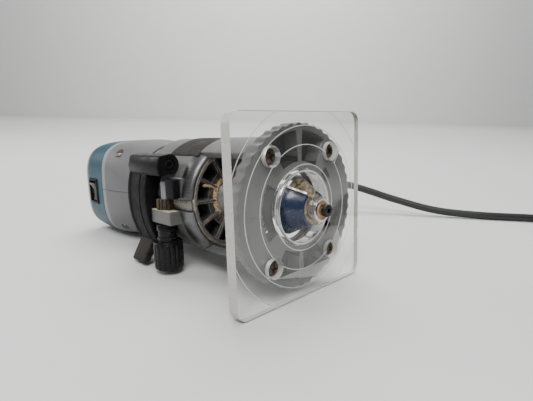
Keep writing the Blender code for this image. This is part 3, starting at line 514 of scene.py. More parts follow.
def lip_alloy():
    """The clamp ring's polished nose, crossed by short dark scratches."""
    paint = Paint("lip_alloy", metal=1.0)
    ways = paint.turned()
    scratches = paint.ramp(paint.noise(0.8, 4.0, 0.6, stretch=(1, 14, 14), vector=ways), 0.46, 0.66)
    smears = paint.noise(7.0, 4.0, 0.6)
    colour = paint.mix(smears, (0.11, 0.11, 0.115), (0.22, 0.22, 0.225))
    colour = paint.mix(paint.math("MULTIPLY", scratches, 0.4), colour, (0.06, 0.06, 0.063))
    return paint.finish(dusted(paint, colour, amount=0.2),
                        rough=(scratches, 0.0, 1.0, 0.34, 0.5), bump=(scratches, -0.008))


def dark_casting():
    """The motor's front cover: dark inside, bright where chips have rubbed its edges."""
    paint = Paint("dark_casting", metal=0.7)
    grain = paint.noise(0.7, 4.0, 0.6)
    colour = paint.mix(grain, (0.05, 0.05, 0.052), (0.15, 0.15, 0.15))
    colour = paint.mix(paint.edges(0.7, 0.8), colour, (0.62, 0.61, 0.59))
    return paint.finish(dusted(paint, colour, dust=TAN, amount=0.9, size_mm=4.0, low=0.52, high=0.66),
                        rough=(grain, 0.3, 0.8, 0.38, 0.6), bump=(grain, 0.05))


def hub_alloy():
    paint = Paint("hub_alloy", metal=0.55, rough=0.42)
    marks = paint.noise(0.8, 4.0, 0.6)
    colour = paint.mix(marks, (0.15, 0.16, 0.17), (0.24, 0.25, 0.265))
    return paint.finish(dusted(paint, colour, dust=TAN, amount=0.8, size_mm=5.0, low=0.56, high=0.68),
                        bump=(marks, 0.03))


def plain_steel(name, dark, light, rough, metal=1.0, size_mm=3.0, depth_mm=0.02):
    paint = Paint(name, metal=metal)
    patch = paint.noise(size_mm, 5.0, 0.6)
    return paint.finish(paint.mix(patch, dark, light), rough=(patch, 0.25, 0.75, rough, rough + 0.18),
                        bump=(paint.noise(size_mm * 0.2, 3.0, 0.6), depth_mm))


def dirty_gear():
    """Steel teeth packed with brown dust."""
    paint = Paint("dirty_gear", metal=0.5)
    patch = paint.noise(1.8, 5.0, 0.65)
    worn = paint.edges(0.25, 0.7)
    colour = paint.mix(paint.ramp(patch, 0.4, 0.62), (0.035, 0.029, 0.023), (0.12, 0.085, 0.052))
    return paint.finish(paint.mix(worn, colour, (0.34, 0.31, 0.27)),
                        rough=(patch, 0.3, 0.7, 0.35, 0.7), bump=(patch, 0.08))


def black_moulding(name, streaks=0.0, dust=0.25, rough=0.34, grain_mm=0.35, grain_depth=0.03, sheen=0.3):
    """Black plastic: fine grain, rubbed edges, dust, and streaks along the tool's Z where asked."""
    paint = Paint(name, Specular_IOR_Level=sheen)
    grain = paint.noise(grain_mm, 3.0, 0.5)
    patch = paint.noise(6.0, 5.0, 0.6)
    colour = paint.mix(patch, (0.004, 0.004, 0.0045), (0.010, 0.010, 0.011))
    if streaks:
        lines = paint.ramp(paint.noise(0.8, 5.0, 0.65, stretch=(1, 2, 14)), 0.48, 0.72, 0.0, streaks)
        colour = paint.mix(lines, colour, (0.085, 0.078, 0.068))
    colour = paint.mix(paint.edges(0.35, 0.25), colour, (0.05, 0.05, 0.05))
    return paint.finish(dusted(paint, colour, amount=dust, low=0.48, high=0.8),
                        rough=(patch, 0.3, 0.75, rough, rough + 0.22), bump=(grain, grain_depth))


def worn_tab():
    """The lever's finger tab, brown with handling."""
    paint = Paint("worn_tab", Specular_IOR_Level=0.2)
    patch = paint.noise(3.5, 6.0, 0.7)
    colour = paint.mix(paint.ramp(patch, 0.35, 0.7), (0.008, 0.0075, 0.007), (0.040, 0.032, 0.024))
    return paint.finish(paint.mix(paint.edges(0.6, 0.5), colour, (0.10, 0.083, 0.066)),
                        rough=(patch, 0.3, 0.7, 0.5, 0.75), bump=(paint.noise(0.6, 4.0, 0.6), 0.08))


def grip_rubber():
    paint = Paint("grip_rubber", Specular_IOR_Level=0.16)
    pebble = paint.cells(1.15)
    patch = paint.noise(8.0, 5.0, 0.6)
    colour = paint.mix(patch, (0.012, 0.0115, 0.011), (0.027, 0.026, 0.024))
    colour = paint.mix(paint.ramp(pebble, 0.25, 0.75, 0.0, 0.4), colour, (0.045, 0.043, 0.039))
    return paint.finish(dusted(paint, colour, dust=(0.12, 0.105, 0.085), amount=0.35),
                        rough=(patch, 0.3, 0.7, 0.62, 0.82), bump=(pebble, -0.16))


def moulded(name, dark, light, rough=0.42, dust=0.3):
    """Coloured housing plastic with a fine spark-eroded grain."""
    paint = Paint(name, Specular_IOR_Level=0.3)
    grain = paint.noise(0.42, 3.0, 0.5)
    patch = paint.noise(16.0, 5.0, 0.6)
    scuffs = paint.ramp(paint.noise(2.2, 5.0, 0.7, stretch=(5, 1, 1)), 0.62, 0.74, 0.0, 0.3)
    colour = paint.mix(patch, dark, light)
    colour = paint.mix(scuffs, colour, tuple(min(1.0, c * 1.35 + 0.03) for c in light))
    return paint.finish(dusted(paint, colour, amount=dust, size_mm=9.0, low=0.52, high=0.8),
                        rough=(patch, 0.3, 0.75, rough, rough + 0.14), bump=(grain, 0.035))


def cutter_paint():
    """Dark blue enamel, polished and scored round the axis, chipped to steel in places."""
    paint = Paint("cutter_paint", Coat_Weight=0.35, Coat_Roughness=0.12)
    ways = paint.turned()
    lines = paint.ramp(paint.noise(0.35, 4.0, 0.65, stretch=(7, 1, 1), vector=ways), 0.55, 0.72, 0.0, 0.55)
    cloud = paint.noise(3.5, 5.0, 0.6)
    chips = paint.ramp(paint.noise(1.5, 6.0, 0.7), 0.66, 0.69)
    colour = paint.mix(cloud, (0.002, 0.007, 0.026), (0.005, 0.020, 0.062))
    colour = paint.mix(lines, colour, (0.022, 0.06, 0.13))
    return paint.finish(paint.mix(chips, colour, (0.42, 0.40, 0.36)),
                        rough=(cloud, 0.3, 0.75, 0.2, 0.4), bump=(lines, -0.03))


def cord_sheath():
    paint = Paint("cord_sheath")
    grain = paint.noise(0.5, 4.0, 0.6)
    patch = paint.noise(30.0, 4.0, 0.6)
    return paint.finish(paint.mix(patch, (0.010, 0.010, 0.011), (0.022, 0.022, 0.024)),
                        rough=(patch, 0.3, 0.75, 0.36, 0.5), bump=(grain, 0.03))


def rim_alloy():
    """The barrel's front rim: dark, with a cream painted highlight along its edges and patches of cream dust.
    """
    paint = Paint("rim_alloy", metal=0.4)
    patch = paint.noise(2.5, 5.0, 0.7)
    colour = paint.mix(patch, (0.10, 0.095, 0.085), (0.22, 0.20, 0.17))
    # cream on the edges is a painted highlight; the cream noise patches are dust
    edge_highlight_and_dust = paint.math("MAXIMUM", paint.edges(0.5), paint.ramp(patch, 0.58, 0.66, 0.0, 0.7))
    return paint.finish(paint.mix(edge_highlight_and_dust, colour, (0.60, 0.53, 0.41)),
                        rough=(patch, 0.3, 0.7, 0.25, 0.7), bump=(patch, 0.05))


ACRYLIC, SAWN = clear_acrylic(), sawn_acrylic()
# drilled seats and the cut hole: frosted, still letting light through
GROUND = mottled("ground_acrylic", 0.7, 5.0, 0.7, (0.62, 0.62, 0.61), (0.92, 0.92, 0.90), depth_mm=0.05,
                 rough_all=0.34, IOR=1.49, Transmission_Weight=0.72)
SCORED = mottled("scored_acrylic", 1.5, 4.0, 0.6, (0.50, 0.50, 0.48), (0.82, 0.82, 0.79), rough_all=0.6)
# the pocket material is painted shade for the recessed pocket floors and slot walls
CAST, POCKET_SHADE, MACHINED, LIP = cast_alloy(), pocket_shade_alloy(), machined_alloy(), lip_alloy()
DARK_CASTING, HUB = dark_casting(), hub_alloy()
SCREW = plain_steel("brown_steel", (0.030, 0.022, 0.017), (0.15, 0.115, 0.085), 0.24, 0.85, 1.6)
BRIGHT = plain_steel("bright_steel", (0.50, 0.49, 0.47), (0.78, 0.77, 0.75), 0.14)
PALE_PIN = plain_steel("pale_pin", (0.17, 0.17, 0.18), (0.25, 0.25, 0.265), 0.42, 0.3)
BLACK_STEEL = plain_steel("black_steel", (0.012, 0.012, 0.012), (0.05, 0.048, 0.045), 0.24, 0.8)
BRONZE = plain_steel("aged_bronze", (0.33, 0.19, 0.085), (0.62, 0.42, 0.24), 0.34, 0.7, 1.2)
LAMINATE = plain_steel("lamination_steel", (0.12, 0.12, 0.12), (0.24, 0.23, 0.22), 0.4, 0.9)
COPPER = plain_steel("turned_copper", (0.50, 0.20, 0.10), (0.72, 0.36, 0.20), 0.26)
BRASS = plain_steel("drawn_brass", (0.50, 0.36, 0.14), (0.74, 0.57, 0.28), 0.24)
CARBON = plain_steel("pressed_carbon", (0.02, 0.02, 0.02), (0.06, 0.06, 0.06), 0.5, 0.1)
DRAWN = machined_alloy("drawn_alloy", 0.28)
TOOTHED = plain_steel("toothed_steel", (0.13, 0.12, 0.11), (0.36, 0.34, 0.31), 0.34, 0.8, 1.2)
GEAR = dirty_gear()
LEVER = black_moulding("lever_plastic", streaks=0.3, dust=0.1, rough=0.46, grain_mm=0.6, grain_depth=0.05,
                       sheen=0.1)
CHEEK = black_moulding("cheek_plastic", dust=0.04, rough=0.26, grain_depth=0.012, sheen=0.12)
BLOCK = black_moulding("block_plastic", dust=0.03, rough=0.3, grain_depth=0.012, sheen=0.08)
GLOSSY = black_moulding("glossy_plastic", dust=0.03, rough=0.16, grain_depth=0.010, sheen=0.2)
MATT = black_moulding("matt_plastic", dust=0.12, rough=0.42, sheen=0.2)
TAB = worn_tab()
GRIP = grip_rubber()
GREY = moulded("grey_housing_plastic", (0.115, 0.115, 0.12), (0.155, 0.155, 0.16))
# the band's paler copy of the housing grey is a painted highlight
BAND_HIGHLIGHT_GREY = moulded("band_highlight_plastic", (0.22, 0.22, 0.22), (0.28, 0.28, 0.28))
TEAL = moulded("teal_plastic", (0.001, 0.040, 0.066), (0.002, 0.062, 0.096), rough=0.34, dust=0.03)
END_GREY = moulded("end_plastic", (0.30, 0.29, 0.28), (0.40, 0.39, 0.38))
BLUE, RIM, SHEATH = cutter_paint(), rim_alloy(), cord_sheath()
# tip plates with pitch baked on, and the resin and bare metal inside the gullets
CARBIDE = mottled("ground_carbide", 2.2, 6.0, 0.7, (0.30, 0.25, 0.18), (0.66, 0.63, 0.56), (0.42, 0.6),
                  (0.3, 0.7, 0.5, 0.26), 0.06, metal=0.8)
GULLET = mottled("gullet_metal", 2.6, 6.0, 0.7, (0.09, 0.07, 0.055), (0.47, 0.38, 0.26), (0.40, 0.58),
                 (0.3, 0.7, 0.3, 0.55), 0.1, metal=0.55)
SAWDUST = mottled("sawdust", 0.45, 5.0, 0.7, (0.36, 0.235, 0.12), (0.70, 0.53, 0.33), depth_mm=0.2,
                  rough_all=0.95)
CREAM_DUST = mottled("cream_dust", 0.6, 5.0, 0.7, (0.40, 0.33, 0.22), (0.66, 0.58, 0.43), depth_mm=0.12,
                     rough_all=0.95)
BROWN_PIN = plain_steel("dusty_screw", (0.16, 0.13, 0.10), (0.34, 0.29, 0.23), 0.35, 0.6, 1.5)


# ---- the plate and the base ----
def insert_plate():
    h, c = PLATE_HALF, PLATE_CORNER
    outline = []
    for cy, cz, a in ((h - c, h - c, 0), (c - h, h - c, 90), (c - h, c - h, 180), (h - c, c - h, 270)):
        outline += arc(c, a, a + 90, 12, cy, cz + PLATE_SHIFT_Z)
    plate = bevel(prism("plate_sheet", outline, -PLATE_THICK, 0.0), 0.25, 1)
    cut(plate, rod("hole", PLATE_HOLE_R, -8, 2, (0, 0), steps=ROUND))
    cut(plate, rod("edge", PLATE_HOLE_R + 0.45, -0.45, 0.05, (0, 0), steps=ROUND,
                   radius_end=PLATE_HOLE_R + 0.95))
    cut(plate, merged([rod("seat", 5.3, SCREW_SEAT, 2, p, steps=48) for p in screw_places()]))
    cut(plate, merged([rod("clear", 2.25, -8, 2, p, steps=24) for p in screw_places()]))
    for radius in SCORED_R:
        groove = [(-0.22, radius), (0.04, radius + 0.26), (0.04, radius - 0.26)]
        cut(plate, lathe("scored", groove, steps=160))

    clear, sawn, ground, scored = range(4)

    def pick(at, normal):
        across = math.hypot(at.y, at.z)
        near = min(math.hypot(at.y - y, at.z - z) for y, z in screw_places())
        if near < 5.6 and not (at.x < -PLATE_THICK + 0.1 or at.x > -0.05 and near > 5.31):
            return ground
        if abs(normal.x) > 0.95 and (at.x > -0.02 or at.x < -PLATE_THICK + 0.02):
            return clear
        if -0.3 < at.x < 0.0 and any(abs(across - r) < 0.3 for r in SCORED_R):
            return scored
        if across < PLATE_HOLE_R + 1.2:
            return clear if abs(normal.x) < 0.1 else scored
        return sawn

    return settle(plate, "base", [ACRYLIC, SAWN, GROUND, SCORED], ["insert_plate"],
                  smooth=25, pick=pick)


def plate_screw(index, y, z):
    seat = SCREW_SEAT + 0.3
    profile = [(-15.0, 0.0), (-15.0, 1.7), (seat, 1.7), (seat, 4.0), (seat + 0.2, 4.2), (seat + 2.0, 4.2),
               (seat + 2.5, 3.9), (seat + 2.95, 3.2), (seat + 3.2, 2.2), (seat + 3.3, 0.0)]
    screw = lathe("plate_screw_head_%d" % index, profile, steps=48, centre=(0, y, z))
    turn = Matrix.Rotation(math.radians(20 * index), 4, "X")
    arms = []
    for half_y, half_z in ((2.5, 0.5), (0.5, 2.5)):
        arm = box("cross", (seat + 2.1, -half_y, -half_z), (seat + 4, half_y, half_z))
        arm.data.transform(Matrix.Translation((0, y, z)) @ turn)
        arms.append(arm)
    for arm in arms:
        cut(screw, arm)
    cut(screw, rod("centre", 0.9, seat + 1.9, seat + 4, (y, z), steps=12, radius_end=1.5))
    return settle(screw, "base", [SCREW], ["plate_screw_%d" % index])


def flange_outline():
    """Rounded scallops round the rim."""
    points = []
    for i in range(FLANGE_SCALLOPS * 8):
        wave = math.cos(math.tau * i / 8)
        points.append(polar(FLANGE_R - 0.4 + 0.4 * max(-1.0, min(1.0, wave * 1.6)),
                            360.0 * i / (FLANGE_SCALLOPS * 8)))
    return points


def base_casting():
    def fuse(piece, tool):
        return join(piece, tool, solvers=("EXACT", "MANIFOLD"))

    def carve(piece, tool):
        return cut(piece, tool, solvers=("EXACT", "MANIFOLD"))

    leg_front, pocket_back, right_through = -16.0, -15.6, -30.0
    rib_half_angle, pocket_half_angle = 3.2, 31.0
    casting = bevel(prism("base_body", flange_outline(), FLANGE_BACK, FLANGE_FRONT), 0.5, 2, degrees=60)
    for mid in (90, 270):
        a0, a1 = mid - LEG_HALF_ANGLE, mid + LEG_HALF_ANGLE
        root = prism("root", sector(22.5, 43.0, a0 - 2, a1 + 2, 24), leg_front - 1, FLANGE_BACK + 1)
        fuse(casting, bevel(root, 0.8))
        leg = prism("leg", soften(sector(33.3, 37.6, a0, a1, 30), 1.2), RING_FRONT - 5, leg_front)
        fuse(casting, leg)
    lip = [(RING_FRONT, RING_BORE_R + 0.3), (-56.45, 33.6), (-56.75, 34.3), (-57.5, 35.1), (-58.7, 35.75),
           (-60.2, 36.3), (-62.0, 36.7), (-64.0, 36.95), (-65.5, RING_R), (-70.0, RING_R),
           (RING_BACK + 0.8, RING_R), (RING_BACK + 0.25, RING_R - 0.25), (RING_BACK, RING_R - 0.8),
           (RING_BACK, RING_BORE_R), (RING_FRONT - 0.4, RING_BORE_R)]
    fuse(casting, lathe("ring", lip, steps=ROUND))
    fuse(casting, bevel(box("pad", (-75.9, -36.9, 3.2), (-63.2, -33.0, 15.2)), 0.5))
    fuse(casting, bevel(box("boss", (-87.5, -43.4, -12.5), (-66.5, -33.4, LEDGE_Z)), 0.9, 3))
    fuse(casting, rod("ear", 4.6, EAR_BACK, EAR_FRONT, (PIVOT_Y, PIVOT_Z), steps=40))
    reach = Vector((PIVOT_Y, PIVOT_Z)).normalized()
    side = Vector((-reach.y, reach.x)) * 3.5
    web = [reach * 35.0 - side, reach * 43.5 - side, reach * 43.5 + side, reach * 35.0 + side]
    fuse(casting, prism("web", [tuple(p) for p in web], EAR_BACK, EAR_FRONT))
    # seen through the plate: bore, pockets each side of the 12 and 6 o'clock ribs, and slots
    carve(casting, rod("bore", BASE_BORE_R, right_through, 0, (0, 0), steps=ROUND))
    carve(casting, rod("chamfer", BASE_BORE_R, -8.8, -6.4, (0, 0), steps=ROUND, radius_end=BASE_BORE_R + 2.2))
    pockets = []
    for rib in (90, 270):
        for a0, a1 in ((rib + rib_half_angle, rib + pocket_half_angle),
                       (rib - pocket_half_angle, rib - rib_half_angle)):
            pockets.append(prism("pocket", soften(sector(24.6, 41.0, a0, a1, 20), 3.0), pocket_back, 0))
    carve(casting, merged(pockets))
    slots = [prism("slot", soften(sector(21.8, 28.5, 148, 212, 24), 2.0), right_through, 0)]
    slots += [prism("slot", soften(sector(24.0, 29.5, a - 8, a + 8, 8), 1.5), right_through, 0)
              for a in (35, -35)]
    carve(casting, merged(slots))
    fuse(casting, merged([rod("boss", 6.6, -16.5, FLANGE_FRONT, p, steps=48) for p in screw_places()]))
    carve(casting, merged([rod("thread", 2.05, pocket_back, 0, p, steps=20) for p in screw_places()]))
    # centre marks at 3 and 9 o'clock
    carve(casting, merged([box("mark", (FLANGE_FRONT - 0.25, y0, -0.25), (-6, y1, 0.25))
                           for y0, y1 in ((-41, -33), (33, 41))]))
    # rack channel, shaft bore, room for knob and neck, bolt hole, seat of the grip
    carve(casting, box("channel", (-113, -35.3, LEDGE_Z), (-50, -31.5, CHANNEL_TOP_Z)))
    carve(casting, box("window", (-113, -50.0, LEDGE_Z), (-50, -31.5, CHANNEL_TOP_Z)))
    carve(casting, rod("shaft", SHAFT_BORE_R, -14, 15, (KNOB_X, KNOB_Y), axis="Z", steps=32))
    carve(casting, rod("neck", 6.9, -26, -12.8, (KNOB_X, KNOB_Y), axis="Z", steps=48))
    carve(casting, rod("bolt", BOLT_HOLE_R, EAR_BACK - 2, EAR_FRONT + 2, (PIVOT_Y, PIVOT_Z), steps=32))
    carve(casting, prism("seat", sector(36.0, 39.0, 90 - GRIP_HALF_ANGLE - 0.5, 90 + GRIP_HALF_ANGLE + 0.5, 40),
                         GRIP_BACK - FIT, GRIP_FRONT + FIT))

    # its large faces have holes and long arcs in them, so they are split here in one fixed way
    bm = bmesh.new()
    bm.from_mesh(casting.data)
    bmesh.ops.triangulate(bm, faces=[face for face in bm.faces if len(face.verts) > 4])
    bm.to_mesh(casting.data)
    bm.free()

    cast, pocket, machined, lip_finish = range(4)

    def pick(at, normal):
        across = math.hypot(at.y, at.z)
        inward = across > 1.0 and (normal.y * at.y + normal.z * at.z) / across < -0.5
        # pocket floors and slot walls take the near-black painted shade
        if -18 < at.x < -12 and normal.x > 0.7:
            return pocket
        if at.x > -9.5 and across < BASE_BORE_R + 2.4 and inward:
            return machined
        if -30 < at.x < -7 and 20.5 < across < 30 and abs(normal.x) < 0.5:
            return pocket
        if -64.8 < at.x < -56 and across > RING_BORE_R + 0.2 and abs(normal.x) < 0.999:
            return lip_finish
        return cast

    return settle(casting, "base", [CAST, POCKET_SHADE, MACHINED, LIP], ["base_casting"],
                  smooth=28, pick=pick)


def grip_panel():
    """Pebbled rubber skin, let into the casting, with its rim pressed a little lower."""
    rows, columns = 26, 60
    bm = bmesh.new()
    grid = []
    for r in (37.5, 36.4):
        layer = []
        for i in range(rows + 1):
            x = GRIP_BACK + (GRIP_FRONT - GRIP_BACK) * i / rows
            row = []
            for k in range(columns + 1):
                a = 90 + GRIP_HALF_ANGLE * (2 * k / columns - 1)
                rim = min(i, rows - i, k, columns - k)
                y, z = polar(r - (0.35 if rim == 0 and r > 37 else 0.0), a)
                row.append(bm.verts.new((x, y, z)))
            layer.append(row)
        grid.append(layer)
    for layer in grid:
        for i in range(rows):
            for k in range(columns):
                bm.faces.new((layer[i][k], layer[i][k + 1], layer[i + 1][k + 1], layer[i + 1][k]))
    top, low = grid
    rim = [(i, 0) for i in range(rows)] + [(rows, k) for k in range(columns)]
    rim += [(i, columns) for i in range(rows, 0, -1)] + [(0, k) for k in range(columns, 0, -1)]
    for (i, k), (m, n) in zip(rim, rim[1:] + rim[:1]):
        bm.faces.new((top[i][k], top[m][n], low[m][n], low[i][k]))
    return settle(to_object("grip_skin", bm), "base", [GRIP], ["grip_panel"], smooth=40)


def clamp_block():
    outline = [(-75.9, -37.2), (-63.4, -37.2), (-63.4, -41.6), (-71.6, -41.6), (-75.9, -38.4)]
    block = bevel(prism("clamp_cover", outline, 3.6, 15.0, axis="Z"), 0.5, 3)
    return settle(block, "base", [BLOCK], ["clamp_block"], smooth=40)


def lever_bolt():
    profile = [(-108.5, 0.0), (-108.5, 1.9), (-76.3, 1.9), (-76.3, 3.05), (-76.1, 3.2), (-73.8, 3.2),
               (-73.4, 2.8), (-73.4, 0.0)]
    bolt = lathe("lever_pivot_bolt", profile, steps=48, centre=(0, PIVOT_Y, PIVOT_Z))
    cut(bolt, rod("socket", 1.8, -75.2, -70, (PIVOT_Y, PIVOT_Z), steps=6))
    return settle(bolt, "base", [BLACK_STEEL], ["lever_bolt"])


def lever_outer_y(z):
    return 12.5 - math.sqrt(59.0 ** 2 - (z - 0.8) ** 2)


def lock_lever():
    inner = [(-polar(37.6, a)[0], polar(37.6, a)[1]) for a in range(30, -37, -3)]
    outer = [(lever_outer_y(z), z) for z in [-27.5 + 54.5 * i / 24 for i in range(25)]]
    band = bevel(prism("lever_body", inner + outer, LEVER_BACK, LEVER_FRONT), 0.8, 3, degrees=50)
    # two raised ribs along the band, one at its rear edge
    for x0, x1, rise in ((LEVER_BACK, -107.4, 0.5), (-96.4, -95.2, 0.45)):
        rib_outer = [(lever_outer_y(z) - rise, z) for z in [-25 + 49 * i / 24 for i in range(25)]]
        rib_inner = [(lever_outer_y(z) + 1.5, z) for z in [24 - 49 * i / 24 for i in range(25)]]
        join(band, bevel(prism("rib", rib_outer + rib_inner, x0, x1), 0.3, 2, degrees=60))
    join(band, rod("knuckle", 6.1, LEVER_BACK + 0.3, CHEEK_FRONT, (PIVOT_Y, PIVOT_Z), steps=64))
    cheek = [(PIVOT_Y, PIVOT_Z - 6.1), (PIVOT_Y, PIVOT_Z + 6.1), (-43.5, 28.4), (-45.4, 22.0), (-44.5, 16.5)]
    join(band, bevel(prism("cheek", soften(cheek, 1.5), LEVER_BACK + 0.6, CHEEK_FRONT), 0.6, 3))
    tab = [(-33.5, -23.5), (-37.5, -24.0), (-40.2, -26.0), (-47.6, -38.6), (-46.8, -40.4),
           (-44.6, -41.0), (-42.6, -39.8), (-35.8, -29.5)]
    join(band, bevel(prism("tab", soften(tab, 1.5), LEVER_BACK, -95.0), 1.0, 3, degrees=50))
    cut(band, rod("slot", 5.0, EAR_BACK - 0.4, EAR_FRONT + 0.4, (PIVOT_Y, PIVOT_Z), steps=48))
    cut(band, box("room", (EAR_BACK - 0.4, PIVOT_Y, PIVOT_Z - 8.5),
                  (EAR_FRONT + 0.4, PIVOT_Y + 9, PIVOT_Z + 8.5)))
    cut(band, rod("bore", BOLT_HOLE_R, -120, -60, (PIVOT_Y, PIVOT_Z), steps=32))
    cut(band, rod("sink", 3.6, -76.7, -60, (PIVOT_Y, PIVOT_Z), steps=48))

    def pick(at, normal):
        if at.z < -26.5:
            return 2
        return 1 if at.x > LEVER_FRONT - 0.5 or (at.z > 16 and at.x > -95) else 0

    return settle(band, "lever", [LEVER, CHEEK, TAB], ["lock_lever"], pick=pick)


def adjust_knob():
    """One skin: dished end, ribbed grip, collar, grooved neck and bore. Rows are (z, radius, rib depth)."""
    rows = ((-40.4, 5.8, 0), (-41.0, 6.6, 0), (-41.0, 7.9, 0.1), (-40.7, 8.5, 0.35), (-40.2, 8.75, 0.5),
            (-39.0, 8.85, 0.6), (-33.0, 9.0, 0.6), (-28.0, 9.0, 0.6), (-25.6, 8.9, 0.55), (-25.0, 8.7, 0.2),
            (-24.8, 8.5, 0), (-24.5, 8.5, 0), (-24.2, 8.9, 0), (-23.9, 8.9, 0), (-23.6, 8.6, 0),
            (-23.4, 7.4, 0), (-23.2, 6.1, 0), (-20.9, 6.1, 0), (-20.5, 5.5, 0), (-17.0, 5.5, 0),
            (-16.6, 6.1, 0), (-13.5, 6.1, 0), (-13.2, 5.8, 0), (-13.2, SHAFT_BORE_R, 0),
            (-36.0, SHAFT_BORE_R, 0))
    ribs, fine = 16, 10
    sections = []
    for z, radius, depth in rows:
        ring = []
        for i in range(ribs * fine):
            groove = math.cos(math.pi * i / fine) ** 8
            y, z_way = polar(radius - depth * groove, 360.0 * i / (ribs * fine))
            ring.append((KNOB_X + y, KNOB_Y + z_way, z))
        sections.append(ring)
    return settle(loft("depth_knob", sections), "knob", [GLOSSY], ["adjust_knob"], smooth=50)


def refined(node, name, body, mats, width=0.12, segments=2, pick=None, smooth=35):
    """A CAD piece's own shape with its flat facets joined and its edges rounded."""
    mesh = frame["nodes"][node].data.copy()
    mesh.transform(TOOL.inverted())
    mesh.transform(Matrix.Scale(1 / MM, 4))
    bm = bmesh.new()
    bm.from_mesh(mesh)
    bmesh.ops.remove_doubles(bm, verts=bm.verts, dist=0.002)
    bmesh.ops.dissolve_limit(bm, angle_limit=math.radians(1.5), verts=bm.verts, edges=bm.edges)
    piece = to_object(name, bm)
    if width:
        bevel(piece, width, segments, clamp=True)
    return settle(piece, body, mats, [node], smooth=smooth, pick=pick)


def pinion_shaft():
    def pick(at, normal):
        return 1 if at.z > 2.6 or at.z < -4.2 else 0
    return refined("pinion_shaft", "pinion_gear", "knob", [GEAR, PALE_PIN], 0.1, 1, pick)


def dust_sheet(name, low, high, seed):
    """A thin lumpy layer on the ledge, down to nothing at its rim, with a flat underside."""
    nx, ny = 44, 12
    bm = bmesh.new()
    rows = []
    for i in range(nx + 1):
        row = []
        for k in range(ny + 1):
            x = low[0] + (high[0] - low[0]) * i / nx
            y = low[1] + (high[1] - low[1]) * k / ny
            lump = noise.noise((x * 0.9, y * 0.9, seed))
            height = max(0.03, 0.28 + 0.3 * lump) if 0 < i < nx and 0 < k < ny else 0.0
            row.append(bm.verts.new((x, y, LEDGE_Z + 0.02 + height)))
        rows.append(row)
    for row, following in zip(rows, rows[1:]):
        for k in range(ny):
            bm.faces.new((row[k], following[k], following[k + 1], row[k + 1]))
    bm.faces.new([row[0] for row in rows] + rows[nx][1:] + [row[ny] for row in reversed(rows[:-1])]
                 + rows[0][-2:0:-1])
    settle(to_object(name, bm), "base", [CREAM_DUST], smooth=80)


def ledge_dust():
    """Fine dust lying under the pinion, and where the ledge meets the ring."""
    dust_sheet("ledge_dust", (-87.2, -43.3), (-68.0, -39.6), 3)
    dust_sheet("ledge_dust_inner", (-73.0, -39.6), (-67.0, -36.5), 5)


# ---- the motor ----
def motor_barrel():
    profile = [(BARREL_FRONT, 31.0), (BARREL_FRONT, BARREL_R - 0.5), (BARREL_FRONT - 0.15, BARREL_R - 0.15),
               (BARREL_FRONT - 0.5, BARREL_R), (BARREL_BACK, BARREL_R), (BARREL_BACK, BARREL_BORE_R),
               (BARREL_FRONT - 1.5, BARREL_BORE_R)]
    barrel = lathe("barrel_tube", profile, steps=ROUND)
    cut(barrel, box("recess", (-94.4, -40, -4.1), (-58.2, -31.2, 2.5)))

    def pick(at, normal):
        return 1 if at.x > BARREL_FRONT - 1.6 else 0

    return settle(barrel, "motor", [DRAWN, RIM], ["motor_barrel"], pick=pick)


def front_end_cap():
    profile = [(-58.6, 29.7), (-70.0, 29.7), (-70.0, 11.3), (-61.0, 11.3), (-61.0, 5.4), (-52.9, 5.4),
               (-52.5, 5.8), (-52.5, 8.1), (-52.8, 8.7), (-53.4, 9.1), (-59.2, 12.9), (-59.9, 13.4),
               (-60.6, 14.4), (-60.6, 28.4), (-60.2, 28.8), (-58.6, 28.8)]
    cap = lathe("front_cover", profile, steps=ROUND)
    cut(cap, merged([prism("window", soften(sector(19.5, 28.4, a + 3, a + 27, 8), 1.2), -75, -50)
                     for a in SPOKE_ANGLES]))
    # raised blades on the spokes
    for a in SPOKE_ANGLES:
        blade = bevel(box("blade", (-62.0, 14.5, -0.75), (-58.9, 28.6, 0.75)), 0.35, 2)
        join(cap, spun(blade, a))

    def pick(at, normal):
        return 1 if math.hypot(at.y, at.z) < 14.2 and at.x > -60.7 else 0

    return settle(cap, "motor", [DARK_CASTING, HUB], ["front_end_cap"], pick=pick)


def nose_dust():
    """Sawdust packed along the hub's edge and on two of the cover's blades."""
    # radius and angle of each lump, then its half width and half height
    lumps = [(14.6, a, 1.5, 1.4) for a in range(128, 214, 7)]
    lumps += [(16.6 + 1.5 * k, 150 + 1.2 * k, 1.25 - 0.08 * k, 1.2) for k in range(6)]
    lumps += [(17.4 + 1.7 * k, 181, 1.0, 0.9) for k in range(3)]
    lumps += [(12.2, 160, 1.6, 1.0), (12.6, 196, 1.3, 1.0)]
    bm = bmesh.new()
    for index, (radius, degrees, size, tall) in enumerate(lumps):
        y, z = polar(radius, degrees)
        made = bmesh.ops.create_icosphere(bm, subdivisions=3, radius=1.0)
        for vert in made["verts"]:
            d = vert.co.normalized()
            rough = 1.0 + 0.6 * noise.noise(d * 1.7 + Vector((index * 7.0, 0, 0)))
            rough += 0.35 * noise.noise(d * 4.5 + Vector((0, index * 3.0, 0)))
            vert.co = Vector((-60.2 + d.x * tall * rough, y + d.y * size * rough, z + d.z * size * rough))
    return settle(to_object("nose_dust", bm), "motor", [SAWDUST], smooth=70)


# x, half width, half height and how square the section is, from round at 2
HOUSING_ROWS = ((HOUSING_FRONT, 33.8, 33.6, 2.0), (-131.0, 34.4, 33.9, 2.1), (-138.0, 35.6, 34.4, 2.4),
                (-146.0, 37.0, 35.2, 2.8), (-154.0, 37.9, 35.9, 3.2), (-162.0, 38.4, 36.4, 3.5),
                (-170.0, 38.5, 36.6, 3.6))


